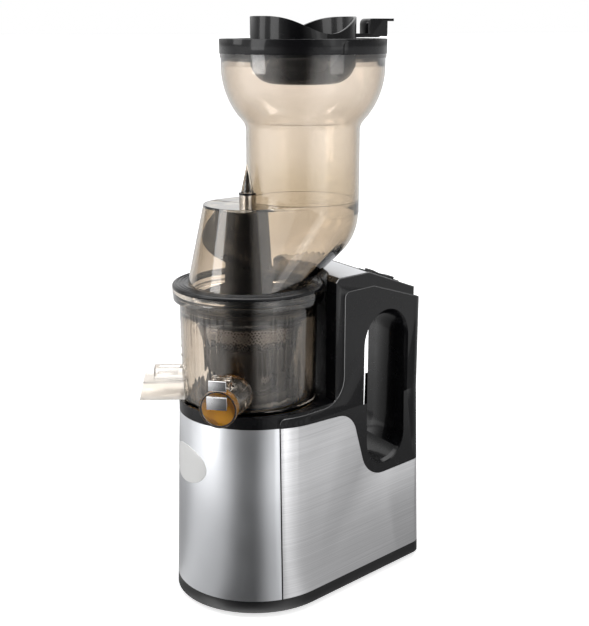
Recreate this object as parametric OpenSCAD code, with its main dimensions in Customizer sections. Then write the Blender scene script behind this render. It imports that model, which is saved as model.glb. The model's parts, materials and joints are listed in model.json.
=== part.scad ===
// Upright cold press juicer with a wide feed hopper.
// Lengths are in millimetres, Z is up and the front faces -Y.
// Inside the modules the origin is the auger's axis at floor level; centred()
// then moves every piece so that the whole stands over the frame's origin.

/* [Base] */
// Radius of the round front of the base
base_r = 62; // [58:0.5:68]
// How far the round front's centre lies behind the auger's axis
base_back = 5; // [3:0.5:8]
// Angle by which each side closes in towards the back
side_taper = 15; // [12:0.5:17]
// Back of the base, measured from the auger's axis
rear_y = 153; // [150:1:165]
// Radius of the two rear corners
rear_r = 10; // [8:0.5:14]
// How much each side spreads out from the collar down to the floor
base_flare = 5; // [0:0.5:7]
// Height of the rubber feet
foot_h = 4; // [3:0.5:8]
// Height of the black plinth above the feet
plinth_h = 10; // [8:1:14]
// Height of the silver and steel panels
panel_h = 144; // [140:1:160]
// Thickness of the silver and steel panels
panel_t = 1.2; // [0.8:0.1:1.6]
// Wall of the inner shell and of the plinth
shell_t = 2.4; // [2:0.1:3]
// Angle from the front at which silver meets steel
seam_angle = 80; // [70:1:85]
// Half the width of the vented rear panel
rear_panel_half = 15; // [12:1:16]
// Radius of a rubber foot
foot_r = 9; // [7:0.5:11]

/* [Collar and column] */
// Height of the collar that carries the bowl
collar_h = 10; // [9:0.5:14]
// Depth of the bowl's seat in the collar
seat_depth = 4; // [3:0.5:5]
// Top of the column above the collar
column_h = 100; // [98:1:106]
// Front of the column at its sides
column_y = 50; // [46:1:54]
// Where the column's top starts to slope down
crest_y = 87; // [80:1:95]
// Slope of the column's top towards the rear
crest_slope = 20.5; // [16:0.5:24]
// Rear end of the column's top
column_rear_y = 142; // [138:1:146]
// Thickness of the handle covers
cover_t = 3; // [2.5:0.1:4]
// Height of the handle covers above the collar's foot
cover_h = 98; // [94:1:99]
// Front of the handle covers
cover_y = 60; // [57:1:64]
// Front of the finger slot
slot_y = 87; // [84:1:92]
// Width of the finger slot
slot_w = 46; // [40:1:48]
// Lowest point of the finger slot
slot_z = 100; // [96:1:110]
// Height of the finger slot
slot_h = 129; // [110:1:132]
// Bevel round the finger slot
slot_bevel = 6; // [2:0.5:8]
// Length of the power switch
switch_l = 28; // [24:1:32]
// Width of the power switch
switch_w = 15; // [12:1:20]

/* [Juicing bowl] */
// Outer radius of the bowl at its foot
bowl_r0 = 53.8; // [52:0.2:55]
// Outer radius of the bowl under its flange
bowl_r1 = 55.2; // [54:0.2:56.5]
// Wall of the clear mouldings
clear_t = 2.5; // [2:0.1:3]
// Height of the bowl from its foot to its flange
bowl_h = 86; // [84:1:92]
// Radius of the bowl's flange and of the lid's rim
flange_r = 60.5; // [58:0.5:61]
// Thickness of the bowl's flange
flange_t = 4.5; // [3.5:0.5:6]
// Angle of the juice spout from the front
spout_angle = 47.5; // [42:0.5:52]
// Reach of the juice spout from the auger's axis
juice_reach = 84; // [80:1:90]
// Radius of the juice spout at its mouth
juice_r = 13; // [12:0.5:14]
// Radius of the passage through the juice spout
juice_bore_r = 9.5; // [8:0.5:10]
// Angle of the pulp spout from the front, on the other side
pulp_angle = 27; // [24:0.5:40]
// Reach of the pulp spout from the auger's axis
pulp_reach = 88.5; // [84:0.5:92]
// Width of the pulp spout
pulp_w = 26; // [22:1:30]
// Height of the pulp spout
pulp_h = 15.5; // [14:0.5:18]

/* [Auger, strainer and brush] */
// Radius of the auger's core at its foot
core_r0 = 24; // [22:0.5:25]
// Radius of the auger's core at its top
core_r1 = 15.5; // [13:0.5:17]
// Height of the auger above the gears in the bowl
auger_h = 141; // [138:1:143]
// Clearance of the flights in the strainer and lid
flight_gap = 1.8; // [1:0.1:3]
// Drop of one quarter turn of the flights at the foot
flight_drop = 6.5; // [5.5:0.1:7.5]
// Thickness of a flight at its edge
flight_t = 2.4; // [2:0.1:3.5]
// Inner radius of the strainer at its foot
strainer_r0 = 27.6; // [27:0.2:28.6]
// Inner radius of the strainer at the foot of its funnel
strainer_r1 = 35.6; // [34:0.2:36.4]
// Wall of the strainer's frame
strainer_t = 1.8; // [1.4:0.1:2.2]
// Thickness of the steel mesh
mesh_t = 0.6; // [0.4:0.1:0.8]
// Radial gap between the strainer and the brush cage
brush_gap = 0.8; // [0.6:0.1:1.2]
// Wall of the brush cage
brush_t = 2; // [1.6:0.1:2.4]

/* [Lid and hopper] */
// Least gap between the auger's top and the lid's deck
deck_gap = 3; // [1:0.5:5]
// Width of the gasket between lid and bowl
gasket_w = 3; // [2:0.5:4]
// Thickness of the gasket
gasket_t = 1.5; // [1:0.1:2.5]
// Distance of the feed chute behind the auger's axis
chute_y = 50; // [48:0.5:52]
// Outer radius of the feed chute
chute_r = 45; // [42:0.5:46]
// Radius of the lid's cone at its rim
lid_r0 = 48; // [46:0.5:52]
// Radius of the lid's deck round the auger's axis
lid_r1 = 34.6; // [33.5:0.2:36]
// Height of the lid's deck above its rim
lid_h = 62; // [61:0.5:66]
// Depth of the lid's rim
rim_h = 8; // [7:0.5:10]
// Height of the chute's straight tube above the deck
tube_h = 54; // [40:1:60]
// Outer radius of the hopper under its ring
hopper_r = 64; // [60:0.5:66]
// Height of the hopper from the top of the tube to its ring
hopper_h = 59; // [57:1:64]
// Radius of the curve that closes the hopper in
hopper_curve = 60; // [52:1:60]
// Height of the hopper's black ring
ring_h = 11; // [10:0.5:14]
// Radius of the flip cup
cup_r = 41; // [38:0.5:42]
// Depth of the flip cup below the ring's top
cup_depth = 34; // [28:1:36]
// Height of the cup's front and rear edges above the ring
cup_rise = 16.5; // [14:0.5:22]
// How far the cup's edge dips at its sides
cup_dip = 13; // [8:1:14]
// Wall of the flip cup
cup_t = 2.2; // [1.8:0.1:3]

/* [Drive] */
// Module of the gearbox's teeth
gear_m = 1; // [0.9:0.05:1.05]
// Teeth of each gearbox pinion
pinion_z = 12; // [11:1:13]
// Teeth of each large gearbox gear
wheel_z = 60; // [56:1:60]
// Width of the gearbox's teeth
gear_w = 8; // [6:0.5:9]
// Radius of the motor's can
motor_r = 38; // [35:0.5:39]
// Height of the motor's can
motor_h = 64; // [58:1:66]
// Radius of the motor's shaft
shaft_r = 4; // [3:0.5:4.5]
// Radius of the fixed pin under the middle gear
layshaft_r = 3; // [2.5:0.5:3.5]
// Width across the flats of the bowl drive
drive_af = 12; // [10:0.5:12]
// Radius of the output shaft
output_r = 7; // [7:0.1:7.5]
// Play between two teeth in mesh
backlash = 0.12; // [0.08:0.01:0.2]
// Radial clearance of every shaft in its bearing
run_gap = 0.05; // [0.02:0.01:0.08]

/* [Hidden] */
$fn = 96;
// a slice thin enough to stand for a plane
slice_t = 0.01;
// gap between mouldings that are fitted side by side
seam_gap = 0.3;
far = 200;

// heights of the stack
plinth_z = foot_h;
panel_z = plinth_z + plinth_h;
collar_z = panel_z + panel_h;
deck_z = collar_z + collar_h;
seat_z = deck_z - seat_depth;
bowl_floor_z = seat_z + 2;
bowl_floor_t = 4;
gear_z = bowl_floor_z + bowl_floor_t + 2;
bowl_gear_w = 6;
auger_top_z = gear_z + bowl_gear_w + auger_h;
bowl_top_z = seat_z + bowl_h;
rim_z = bowl_top_z + flange_t;
lid_z = rim_z + rim_h;
gasket_r = flange_r - 3;
// the deck stays clear of the auger's top
lid_deck_z = max(lid_z + lid_h, auger_top_z + deck_gap + clear_t);
tube_top_z = lid_deck_z + tube_h;
ring_z = tube_top_z + hopper_h;
ring_top_z = ring_z + ring_h;
column_top_z = deck_z + column_h;
cover_top_z = collar_z + cover_h;

// plan of the base
rear_cy = rear_y - rear_r;
rear_cx = (base_back*sin(side_taper) + base_r - rear_r - rear_cy*sin(side_taper))
          / cos(side_taper);
seam_y = base_back - base_r*cos(seam_angle);

// edge between the steel side and the handle cover, in the (y, z) plane
cover_skin_y = 68;
s_top_z = collar_z - 3;
s_crown = [53, s_top_z - 22];
s_crown_r = 22;
s_hollow = [slot_y + 20, slot_z + 18.5];
s_hollow_r = 26;
s_lean = 16;
band_top_z = deck_z - 3;

// gears
gear_angle = 20;
stub = 0.8;
root_depth = 1.1;
gear_centres = gear_m*(pinion_z + wheel_z)/2;
bowl_gear_m = 1.25;
sun_z = 20;
idler_z = 20;
annulus_z = sun_z + 2*idler_z;
idler_r = bowl_gear_m*(sun_z + idler_z)/2;
idler_pin_r = 2.5;

// motor and gearbox
motor_z = panel_z + 8;
motor_top_z = motor_z + motor_h;
case_z = motor_top_z + 6;
case_t = 3;
case_gap = 1.5;
case_r = gear_m*(wheel_z/2 + stub) + case_gap + case_t;
stage1_z = case_z + case_t + 2;
stage2_z = stage1_z + gear_w + 4;
case_h = 2*gear_w + 4 + 2 + case_t + 2;
case_top_z = case_z + case_h;
gear_cover_t = 4;
post_x = motor_r + 6;
post_r = 4.5;

// spouts
juice_z = deck_z + 17;
pulp_z = deck_z + 0.5;
cap_hinge_z = juice_z + juice_r + 6;
cap_hinge_r = juice_reach - 3.5;
cap_pin_r = 1.5;
cap_r = juice_r + 1.4;
cap_t = 3;
cap_depth = 5;
tab_l = 3;
cap_front_r = juice_reach + cap_depth + cap_t;

// flip cup
pivot_z = ring_top_z - 6;
pivot_r = 2.5;
cup_open_y = 52;
pivot_x = cup_r + 5;

// ---------------------------------------------------------------- helpers

// centre of the whole in plan, from the base's left and rear and the two spouts
frame_x = ((cap_front_r*sin(spout_angle) + cap_r*cos(spout_angle)) - (base_r + base_flare))/2;
frame_y = ((rear_y + base_flare) - (pulp_reach*cos(pulp_angle) + pulp_w/2*sin(pulp_angle)))/2;

module centred() { translate([-frame_x, -frame_y, 0]) children(); }

function arc(c, r, a0, a1, n = 12) =
  [for (i = [0:n]) c + r*[cos(a0 + (a1 - a0)*i/n), sin(a0 + (a1 - a0)*i/n)]];

// value at x on a line of [x, value] knots
function along(x, knots) =
  x <= knots[0][0] ? knots[0][1] :
  x >= knots[len(knots) - 1][0] ? knots[len(knots) - 1][1] :
  [for (i = [1:len(knots) - 1])
    if (x >= knots[i - 1][0] && x < knots[i][0])
      knots[i - 1][1] + (knots[i][1] - knots[i - 1][1])
        *(x - knots[i - 1][0])/(knots[i][0] - knots[i - 1][0])][0];

// teardrop plan of the base, moved inwards by inset
module plan(inset = 0) {
  // the straight sides run this far inside the arcs that they join
  weld = 0.03;
  n = [cos(side_taper), sin(side_taper)];
  p = [0, base_back] + (base_r - inset - weld)*n;
  q = [rear_cx, rear_cy] + (rear_r - inset - weld)*n;
  translate([0, base_back]) circle(base_r - inset);
  for (s = [-1, 1]) translate([s*rear_cx, rear_cy]) circle(rear_r - inset);
  polygon([[0, base_back], p, q, [rear_cx, rear_cy], [rear_cx, rear_y - inset - weld],
           [-rear_cx, rear_y - inset - weld], [-rear_cx, rear_cy], [-q[0], q[1]], [-p[0], p[1]]]);
}

// how far the sides have spread at height z
function flare_at(z) = base_flare*(collar_z - z)/(collar_z - foot_h);

// body of the base between two heights, moved inwards by inset
module flared(z0, z1, inset) {
  hull() for (z = [z0, z1 - slice_t])
    translate([0, 0, z]) linear_extrude(slice_t) plan(inset - flare_at(z), $fn = 72);
}

// straight body of the column between two heights
module upright(z0, z1, inset = 0) {
  translate([0, 0, z0]) linear_extrude(z1 - z0) plan(inset);
}

// extrudes a (y, z) outline across the machine from x0 to x1
module across(x0, x1) {
  translate([x0, 0, 0]) rotate([90, 0, 90]) linear_extrude(x1 - x0) children();
}

module ring_tube(r_out, r_in, h) {
  difference() {
    cylinder(r = r_out, h = h);
    translate([0, 0, -1]) cylinder(r = r_in, h = h + 2);
  }
}

// points a spout's axis along +X, out from the auger's axis
module toward(angle) { rotate([0, 0, angle - 90]) children(); }

// outline of a handle cover in the (y, z) plane, grown by g
function cover_outline(g) = concat(
  [[seam_y - g, collar_z - g]],
  arc(s_crown, s_crown_r - g, 90, s_lean),
  arc(s_hollow, s_hollow_r + g, 180 + s_lean, 270),
  [[far, s_hollow[1] - s_hollow_r - g],
   [far, cover_top_z + g - (far - crest_y - 6)*tan(crest_slope - 2.5)],
   [crest_y + 6, cover_top_z + g]],
  arc([cover_y + 5, cover_top_z - 5], 5 + g, 90, 180, 6),
  arc([cover_y - 22, band_top_z + 22], 22 - g, 0, -90),
  arc([seam_y + 4, band_top_z - 4], 4 + g, 90, 180, 6));

module finger_slot(g = 0) {
  r = slot_w/2 + g;
  for (z = [slot_z + slot_w/2, slot_z + slot_h - slot_w/2])
    translate([slot_y + slot_w/2, z]) circle(r);
  translate([slot_y - g, slot_z + slot_w/2]) square([2*r, slot_h - slot_w]);
}

// ------------------------------------------------------------- gear teeth

function involute(rb, t) = rb*[cos(t) + t*PI/180*sin(t), sin(t) - t*PI/180*cos(t)];
function turn(p, a) = [p[0]*cos(a) - p[1]*sin(a), p[0]*sin(a) + p[1]*cos(a)];
function roll(rb, r) = sqrt(pow(max(r, rb)/rb, 2) - 1)*180/PI;
function inv_angle(a) = tan(a)*180/PI - a;

// one flank of a tooth from its root to its tip, for the tooth centred on +X
function flank(rb, r_root, r_tip, half, steps = 4) =
  concat(r_root < rb ? [r_root*[cos(half), -sin(half)]] : [],
    [for (i = [0:steps])
      let (r = max(rb, r_root) + (r_tip - max(rb, r_root))*i/steps)
      turn(involute(rb, roll(rb, r)), -half)]);

// external teeth: m module, z teeth
function teeth(m, z, gap) = [for (k = [0:z - 1])
  let (rp = m*z/2, rb = rp*cos(gear_angle),
       half = 90/z - gap*90/(PI*rp) + inv_angle(gear_angle),
       side = flank(rb, rp - m*root_depth, rp + m*stub, half))
  each [for (p = concat(side, [for (i = [len(side) - 1:-1:0]) [side[i][0], -side[i][1]]]))
    turn(p, 360*k/z)]];

// spaces of an internal gear, the shape of the teeth that run in it
function spaces(m, z, gap) = [for (k = [0:z - 1])
  let (rp = m*z/2, rb = rp*cos(gear_angle),
       half = 90/z + gap*90/(PI*rp) + inv_angle(gear_angle),
       side = flank(rb, rp - m*stub, rp + m*root_depth, half))
  each [for (p = concat(side, [for (i = [len(side) - 1:-1:0]) [side[i][0], -side[i][1]]]))
    turn(p, 360*k/z)]];

// turn of a gear with z2 teeth that meshes with one of z1 teeth whose first tooth
// points along +X, when the second gear lies in the direction a from the first
function mesh_turn(z1, z2, a) = a + 180 - 180/z2 + a*z1/z2;

module spur(m, z, h) { linear_extrude(h) polygon(teeth(m, z, backlash)); }

// ------------------------------------------------------------------ base

foot_places = [[-34, -22], [34, -22], [-17, rear_cy - 12], [17, rear_cy - 12]];
foot_neck_r = 3.5;
board_w = 54;
board_y = 90;

module rubber_feet() {
  color("dimgray") centred() for (p = foot_places) translate(p) {
    cylinder(r = foot_r, h = foot_h);
    cylinder(r = foot_neck_r, h = foot_h + 3);
    translate([0, 0, foot_h + 3]) cylinder(r1 = foot_neck_r + 1.5, r2 = foot_neck_r, h = 2);
  }
}

module base_plate() {
  lip_z = panel_z + 5;
  color("black") centred() difference() {
    union() {
      difference() {
        flared(plinth_z, panel_z, 0);
        flared(plinth_z + 3, panel_z + 1, panel_t + shell_t);
      }
      difference() {
        flared(plinth_z + 2, lip_z, panel_t + shell_t + seam_gap);
        flared(plinth_z + 1, lip_z + 1, panel_t + 2*shell_t);
      }
      for (x = [-post_x, post_x], y = [0, gear_centres])
        translate([x, y, plinth_z + 1]) cylinder(r = post_r, h = case_z - plinth_z - 1);
      for (x = [-board_w/2, board_w/2]) translate([x - 3, board_y - 2.2, plinth_z + 1])
        cube([6, 6, 10]);
    }
    for (p = foot_places) translate([p[0], p[1], 0]) cylinder(r = foot_neck_r, h = 20);
    for (i = [-4:4]) translate([6*i - 1.5, -14, 0]) cube([3, 28, 20]);
    translate([-board_w/2, board_y, plinth_z + 3]) cube([board_w, 1.6, 20]);
    for (x = [-post_x, post_x], y = [0, gear_centres])
      translate([x, y, case_z - 16]) cylinder(r = 1.6, h = 17);
  }
}

module front_sector(angle) {
  a = [sin(angle), -cos(angle)]*far;
  translate([0, base_back]) polygon([[0, 0], [-a[0], a[1]], [-far, -far], [far, -far], a]);
}

module base_shell() {
  color("black") centred() difference() {
    flared(panel_z, collar_z, panel_t);
    flared(panel_z - 1, collar_z + 1, panel_t + shell_t);
    across(-far, far) polygon(cover_outline(seam_gap));
    translate([-rear_panel_half + 3, rear_y - 30, panel_z + 8]) cube([2*rear_panel_half - 6, 60, 60]);
  }
}

module panel_skin() {
  difference() {
    flared(panel_z, collar_z, 0);
    flared(panel_z - 1, collar_z + 1, panel_t);
  }
}

module front_panel() {
  color("silver") centred() intersection() {
    panel_skin();
    linear_extrude(far) front_sector(seam_angle - 0.5);
  }
}

module side_panel(side) {
  x0 = rear_panel_half + seam_gap;
  color("gainsboro") centred() difference() {
    panel_skin();
    linear_extrude(far) front_sector(seam_angle + 0.5);
    across(-far, far) polygon(cover_outline(seam_gap));
    translate([side > 0 ? -far : -x0, -far, 0]) cube([far + x0, 2*far, far]);
  }
}

module side_panel_right() { side_panel(1); }
module side_panel_left() { side_panel(-1); }

gland_z = panel_z + 16;
gland_r = 5;

module rear_panel() {
  color("black") centred() difference() {
    intersection() {
      panel_skin();
      translate([-rear_panel_half, rear_y - 20, 0]) cube([2*rear_panel_half, 60, far]);
    }
    across(-far, far) polygon(cover_outline(seam_gap));
    for (i = [0:5]) translate([-10, rear_y - 20, panel_z + 32 + 6*i]) cube([20, 60, 3]);
    translate([0, rear_y - 20, gland_z]) rotate([-90, 0, 0]) cylinder(r = gland_r, h = 60);
  }
}

module cord_gland() {
  lean = atan(base_flare/(collar_z - foot_h));
  color("dimgray") centred() translate([0, rear_y + flare_at(gland_z), gland_z])
    rotate([-90 + lean, 0, 0]) difference() {
      union() {
        translate([0, 0, -panel_t - 2]) cylinder(r = gland_r - 0.3, h = panel_t + 4);
        translate([0, 0, -panel_t - 2]) cylinder(r = gland_r + 2, h = 2);
        cylinder(r = gland_r + 2, h = 2);
      }
      translate([0, 0, -10]) cylinder(r = 3.4, h = 20);
    }
}

// ----------------------------------------------------------------- drive

bush_w = 5;
bush_r = 8;

module motor_can() {
  color("gray") centred() translate([0, 0, motor_z]) difference() {
    cylinder(r = motor_r, h = motor_h);
    translate([0, 0, 2]) cylinder(r = motor_r - 1.8, h = motor_h - 4);
    translate([0, 0, -1]) cylinder(r = bush_r, h = motor_h + 2);
    for (a = [30:60:330]) rotate(a) translate([20, -4, -1]) cube([10, 8, motor_h + 2]);
  }
}

rotor_r = 23;
air_gap = 0.6;

module stator() {
  h = motor_h - 4;
  color("peru") centred() translate([0, 0, motor_z + 2]) difference() {
    union() {
      translate([0, 0, h*0.22]) cylinder(r = motor_r - 1.8, h = h*0.56);
      translate([0, 0, h*0.08]) ring_tube(motor_r - 5, rotor_r + 3, h*0.84);
    }
    translate([0, 0, -1]) cylinder(r = rotor_r + air_gap, h = h + 2);
  }
}

module motor_rotor() {
  h = motor_h - 4;
  color("silver") centred() {
    translate([0, 0, motor_z + 2 + h*0.2]) cylinder(r = rotor_r, h = h*0.6);
    translate([0, 0, plinth_z + 5]) cylinder(r = shaft_r, h = stage1_z + gear_w - plinth_z - 5);
    translate([0, 0, stage1_z]) spur(gear_m, pinion_z, gear_w);
  }
}

fan_z = plinth_z + 6;

module motor_fan() {
  color("ivory") centred() translate([0, 0, fan_z]) difference() {
    union() {
      cylinder(r = 7, h = motor_z - 2 - fan_z);
      cylinder(r = 32, h = 1.6);
      for (a = [0:30:330]) rotate(a) translate([6, -0.8, 0]) cube([26, 1.6, 8]);
    }
    translate([0, 0, -1]) cylinder(r = shaft_r, h = 12);
  }
}

module motor_bushes() {
  color("goldenrod") centred() for (z = [motor_z - 2, motor_top_z - bush_w + 2])
    translate([0, 0, z]) difference() {
      ring_tube(bush_r, shaft_r + run_gap, bush_w);
    }
}

// stadium outline round both gear axes
module case_outline(r) {
  circle(r);
  translate([0, gear_centres]) circle(r);
  translate([-r, 0]) square([2*r, gear_centres]);
}

module gearbox_case() {
  color("dimgray") centred() difference() {
    union() {
      translate([0, 0, case_z]) linear_extrude(case_h) case_outline(case_r);
      for (x = [-post_x, post_x], y = [0, gear_centres]) {
        translate([x, y, case_z]) cylinder(r = post_r, h = 4);
        translate([x > 0 ? case_r - 3 : -post_x, y - post_r, case_z])
          cube([post_x - case_r + 3, 2*post_r, 4]);
      }
      translate([0, 0, motor_top_z]) cylinder(r = 14, h = case_z - motor_top_z + 1);
    }
    translate([0, 0, case_z + case_t]) linear_extrude(case_h) case_outline(case_r - case_t);
    translate([0, 0, motor_top_z - 1]) cylinder(r = bush_r + 1, h = case_h);
    translate([0, gear_centres, case_z - 1]) cylinder(r = layshaft_r, h = 20);
    for (x = [-post_x, post_x], y = [0, gear_centres])
      translate([x, y, case_z - 1]) cylinder(r = 2.1, h = 8);
  }
}

module gearbox_cover() {
  boss_h = collar_z - case_top_z - gear_cover_t - 0.5;
  color("dimgray") centred() difference() {
    union() {
      translate([0, 0, case_top_z]) linear_extrude(gear_cover_t) case_outline(case_r);
      translate([0, 0, case_top_z + gear_cover_t - 1]) cylinder(r = output_r + 7, h = boss_h + 1);
      for (a = [0:60:300]) rotate(a) translate([output_r + 5, -1.2, case_top_z + gear_cover_t - 1])
        cube([10, 2.4, boss_h*0.7]);
    }
    translate([0, 0, case_top_z - 1]) cylinder(r = output_r + 3, h = 80);
    translate([0, gear_centres, case_top_z - 1]) cylinder(r = layshaft_r, h = 20);
  }
}

module layshaft_pin() {
  color("silver") centred() translate([0, gear_centres, case_z])
    cylinder(r = layshaft_r, h = case_h + gear_cover_t);
}

module cluster_gear() {
  color("khaki") centred() translate([0, gear_centres, 0]) difference() {
    union() {
      translate([0, 0, stage1_z]) rotate(mesh_turn(pinion_z, wheel_z, 90)) spur(gear_m, wheel_z, gear_w);
      translate([0, 0, case_z + case_t]) cylinder(r = 6, h = 3);
      translate([0, 0, stage1_z + gear_w - 1])
        cylinder(r = gear_m*(pinion_z/2 - root_depth), h = case_top_z - stage1_z - gear_w + 1);
      translate([0, 0, stage2_z]) spur(gear_m, pinion_z, gear_w);
    }
    translate([0, 0, case_z]) cylinder(r = layshaft_r + run_gap, h = 60);
  }
}

module output_gear() {
  color("silver") centred() {
    translate([0, 0, stage2_z]) rotate(mesh_turn(pinion_z, wheel_z, 270)) spur(gear_m, wheel_z, gear_w);
    translate([0, 0, stage2_z]) cylinder(r = output_r, h = seat_z - stage2_z);
    // collars that run against the two bushes
    translate([0, 0, stage2_z]) cylinder(r = output_r + 2, h = case_top_z - stage2_z);
    translate([0, 0, collar_z - 0.5]) cylinder(r = output_r + 1.5, h = 1.2);
    translate([0, 0, seat_z - 1]) cylinder(r = drive_af/2/cos(30), h = deck_z - seat_z + 15, $fn = 6);
  }
}

module output_bush() {
  color("goldenrod") centred() for (z = [case_top_z, collar_z - 0.5 - 7])
    translate([0, 0, z]) ring_tube(output_r + 3, output_r + run_gap, 7);
}

module frame_screws() {
  color("silver") centred() for (x = [-post_x, post_x], y = [0, gear_centres])
    translate([x, y, case_z + 4]) {
      cylinder(r = 3.6, h = 2.4);
      translate([0, 0, -18]) cylinder(r = 1.6, h = 18);
    }
}

module control_board() {
  color("green") centred() {
    translate([-board_w/2, board_y, plinth_z + 3]) cube([board_w, 1.6, 66]);
    translate([-20, board_y + 1.6, plinth_z + 40]) cube([12, 9, 20]);
    translate([2, board_y + 1.6, plinth_z + 46]) cube([18, 12, 14]);
    translate([-14, board_y + 1.6, plinth_z + 16]) cube([28, 4, 8]);
  }
}

module capacitor() {
  color("lightgray") centred() translate([0, 120, plinth_z + 3]) {
    cylinder(r = 13, h = 48);
    for (x = [-4, 4]) translate([x - 0.4, -3, 48]) cube([0.8, 6, 8]);
  }
}

// ------------------------------------------------------ collar and column

// side view of the column, from its front foot over its sloping top
function column_outline() = [
  [column_y, collar_z], [column_y, column_top_z - 3], [column_y + 3, column_top_z],
  [crest_y, column_top_z],
  [column_rear_y, column_top_z - (column_rear_y - crest_y)*tan(crest_slope)],
  [column_rear_y, collar_z]];

pocket_r = flange_r + 2;
groove = 0.5;

module upper_housing() {
  color("black") centred() difference() {
    union() {
      difference() {
        upright(collar_z, deck_z);
        translate([-far, cover_skin_y, 0]) cube([2*far, far, far*2]);
      }
      intersection() {
        upright(collar_z, column_top_z + 1);
        across(-far, far) polygon(column_outline());
      }
      // lip inside the shell
      difference() {
        upright(collar_z - 6, collar_z + 1, panel_t + shell_t + seam_gap);
        upright(collar_z - 7, collar_z + 2, panel_t + 2*shell_t);
        translate([-far, cover_skin_y - 30, 0]) cube([2*far, far, far*2]);
      }
    }
    // room for the covers: a skin in front, everything behind
    difference() {
      across(-far, far) polygon(cover_outline(0));
      intersection() {
        upright(collar_z - 20, column_top_z, cover_t);
        translate([-far, -far, 0]) cube([2*far, far + cover_skin_y, far*2]);
      }
    }
    translate([0, 0, deck_z]) cylinder(r = pocket_r, h = far);
    translate([0, 0, seat_z]) cylinder(r = bowl_r0 + 2.2, h = far);
    translate([0, 0, collar_z - 10]) cylinder(r = output_r + 3, h = 40);
    // pocket of the power switch
    switch_place() translate([-switch_w/2, -switch_l/2, -6]) cube([switch_w, switch_l, 20]);
  }
}

// frame on the column's rear slope, Z square to it
switch_y = 125;
module switch_place() {
  translate([0, switch_y, column_top_z - (switch_y - crest_y)*tan(crest_slope)])
    rotate([-crest_slope, 0, 0]) children();
}

module cover_block(inset, g) {
  intersection() {
    union() {
      flared(slot_z - 20, collar_z, inset);
      upright(collar_z, column_top_z, inset);
    }
    across(-far, far) polygon(cover_outline(g));
  }
}

module handle_cover(side) {
  difference() {
    cover_block(0, 0);
    // hollow of the cover
    difference() {
      cover_block(cover_t, -cover_t);
      across(-far, far) finger_slot(cover_t);
    }
    intersection() {
      upright(slot_z - 20, column_top_z, cover_t);
      translate([-far, -far, 0]) cube([2*far, far + cover_skin_y, far*2]);
    }
    across(-far, far) finger_slot();
    translate([side > 0 ? -far : 0, -far, 0]) cube([far, 2*far, 2*far]);
    // bevel where the fingers go in, square to the cover's face
    hull() for (g = [0, slot_bevel]) slot_slice(side, g);
  }
}

// the slot's outline as a slice on the cover's face, grown by g and out by g
module slot_slice(side, g) {
  c = [side*base_r/cos(side_taper), 0];
  y = slot_y + slot_w/2;
  x = side*(base_r + base_back*sin(side_taper) - y*sin(side_taper))/cos(side_taper);
  translate([x, y, 0]) rotate([0, 0, side*side_taper])
    translate([side*(g - slot_bevel), 0, 0]) rotate([90, 0, 90])
      linear_extrude(slice_t) translate([-y, 0]) finger_slot(g*0.8, $fn = 48);
}

module handle_cover_right() { color("black") centred() handle_cover(1); }
module handle_cover_left() { color("black") centred() handle_cover(-1); }

module switch_bezel() {
  color("black") centred() switch_place() difference() {
    union() {
      translate([-switch_w/2, -switch_l/2, -6]) cube([switch_w, switch_l, 6]);
      translate([-switch_w/2 - 1.5, -switch_l/2 - 1.5, 0]) cube([switch_w + 3, switch_l + 3, 1]);
    }
    translate([-switch_w/2 + 1.5, -switch_l/2 + 1.5, -4.5])
      cube([switch_w - 3, switch_l - 3, 10]);
    translate([-switch_w, 0, -1]) rotate([0, 90, 0]) cylinder(r = 1.2, h = 2*switch_w);
  }
}

// a rocker with three places: forward, off and reverse
module rocker_switch() {
  half = switch_l/2 - 2.3;
  color("dimgray") centred() switch_place() translate([-switch_w/2 + 1.8, 0, -1]) {
    difference() {
      rotate([90, 0, 90]) linear_extrude(switch_w - 3.6) polygon([
        [-half, 0.6], [-half, 3.8], [-half*0.35, 3], [half*0.35, 3], [half, 3.8], [half, 0.6],
        [3, -2.4], [-3, -2.4]]);
      for (y = [-half + 1.5:2.2:-3]) translate([-1, y, 3.2]) cube([switch_w, 0.9, 2]);
      for (y = [half - 1.5:-2.2:3]) translate([-1, y, 3.2]) cube([switch_w, 0.9, 2]);
    }
    translate([-1.7, 0, 0]) rotate([0, 90, 0]) cylinder(r = 1.15, h = switch_w - 0.2);
  }
}

// --------------------------------------------------------------- the bowl

track_r = bowl_gear_m*annulus_z/2 + 1.25*bowl_gear_m;
ledge_z = bowl_top_z - 7;

// the bowl's outside as one solid
module bowl_solid() {
  rotate_extrude() polygon([[0, bowl_floor_z], [52, bowl_floor_z], [bowl_r0, bowl_floor_z + 1],
    [bowl_r1, bowl_top_z], [0, bowl_top_z]]);
}

// way of the juice from the bowl through its spout
module juice_way() {
  toward(spout_angle) translate([bowl_r0 - 10, 0, juice_z]) rotate([0, 90, 0])
    cylinder(r = juice_bore_r, h = juice_reach);
}

// way of the pulp from the bowl through its spout
module pulp_way() {
  toward(-pulp_angle) translate([bowl_r0 - 10, -pulp_w/2 + 2.2, pulp_z + 2.2])
    cube([60, pulp_w - 4.4, pulp_h - 4.4]);
}

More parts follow.
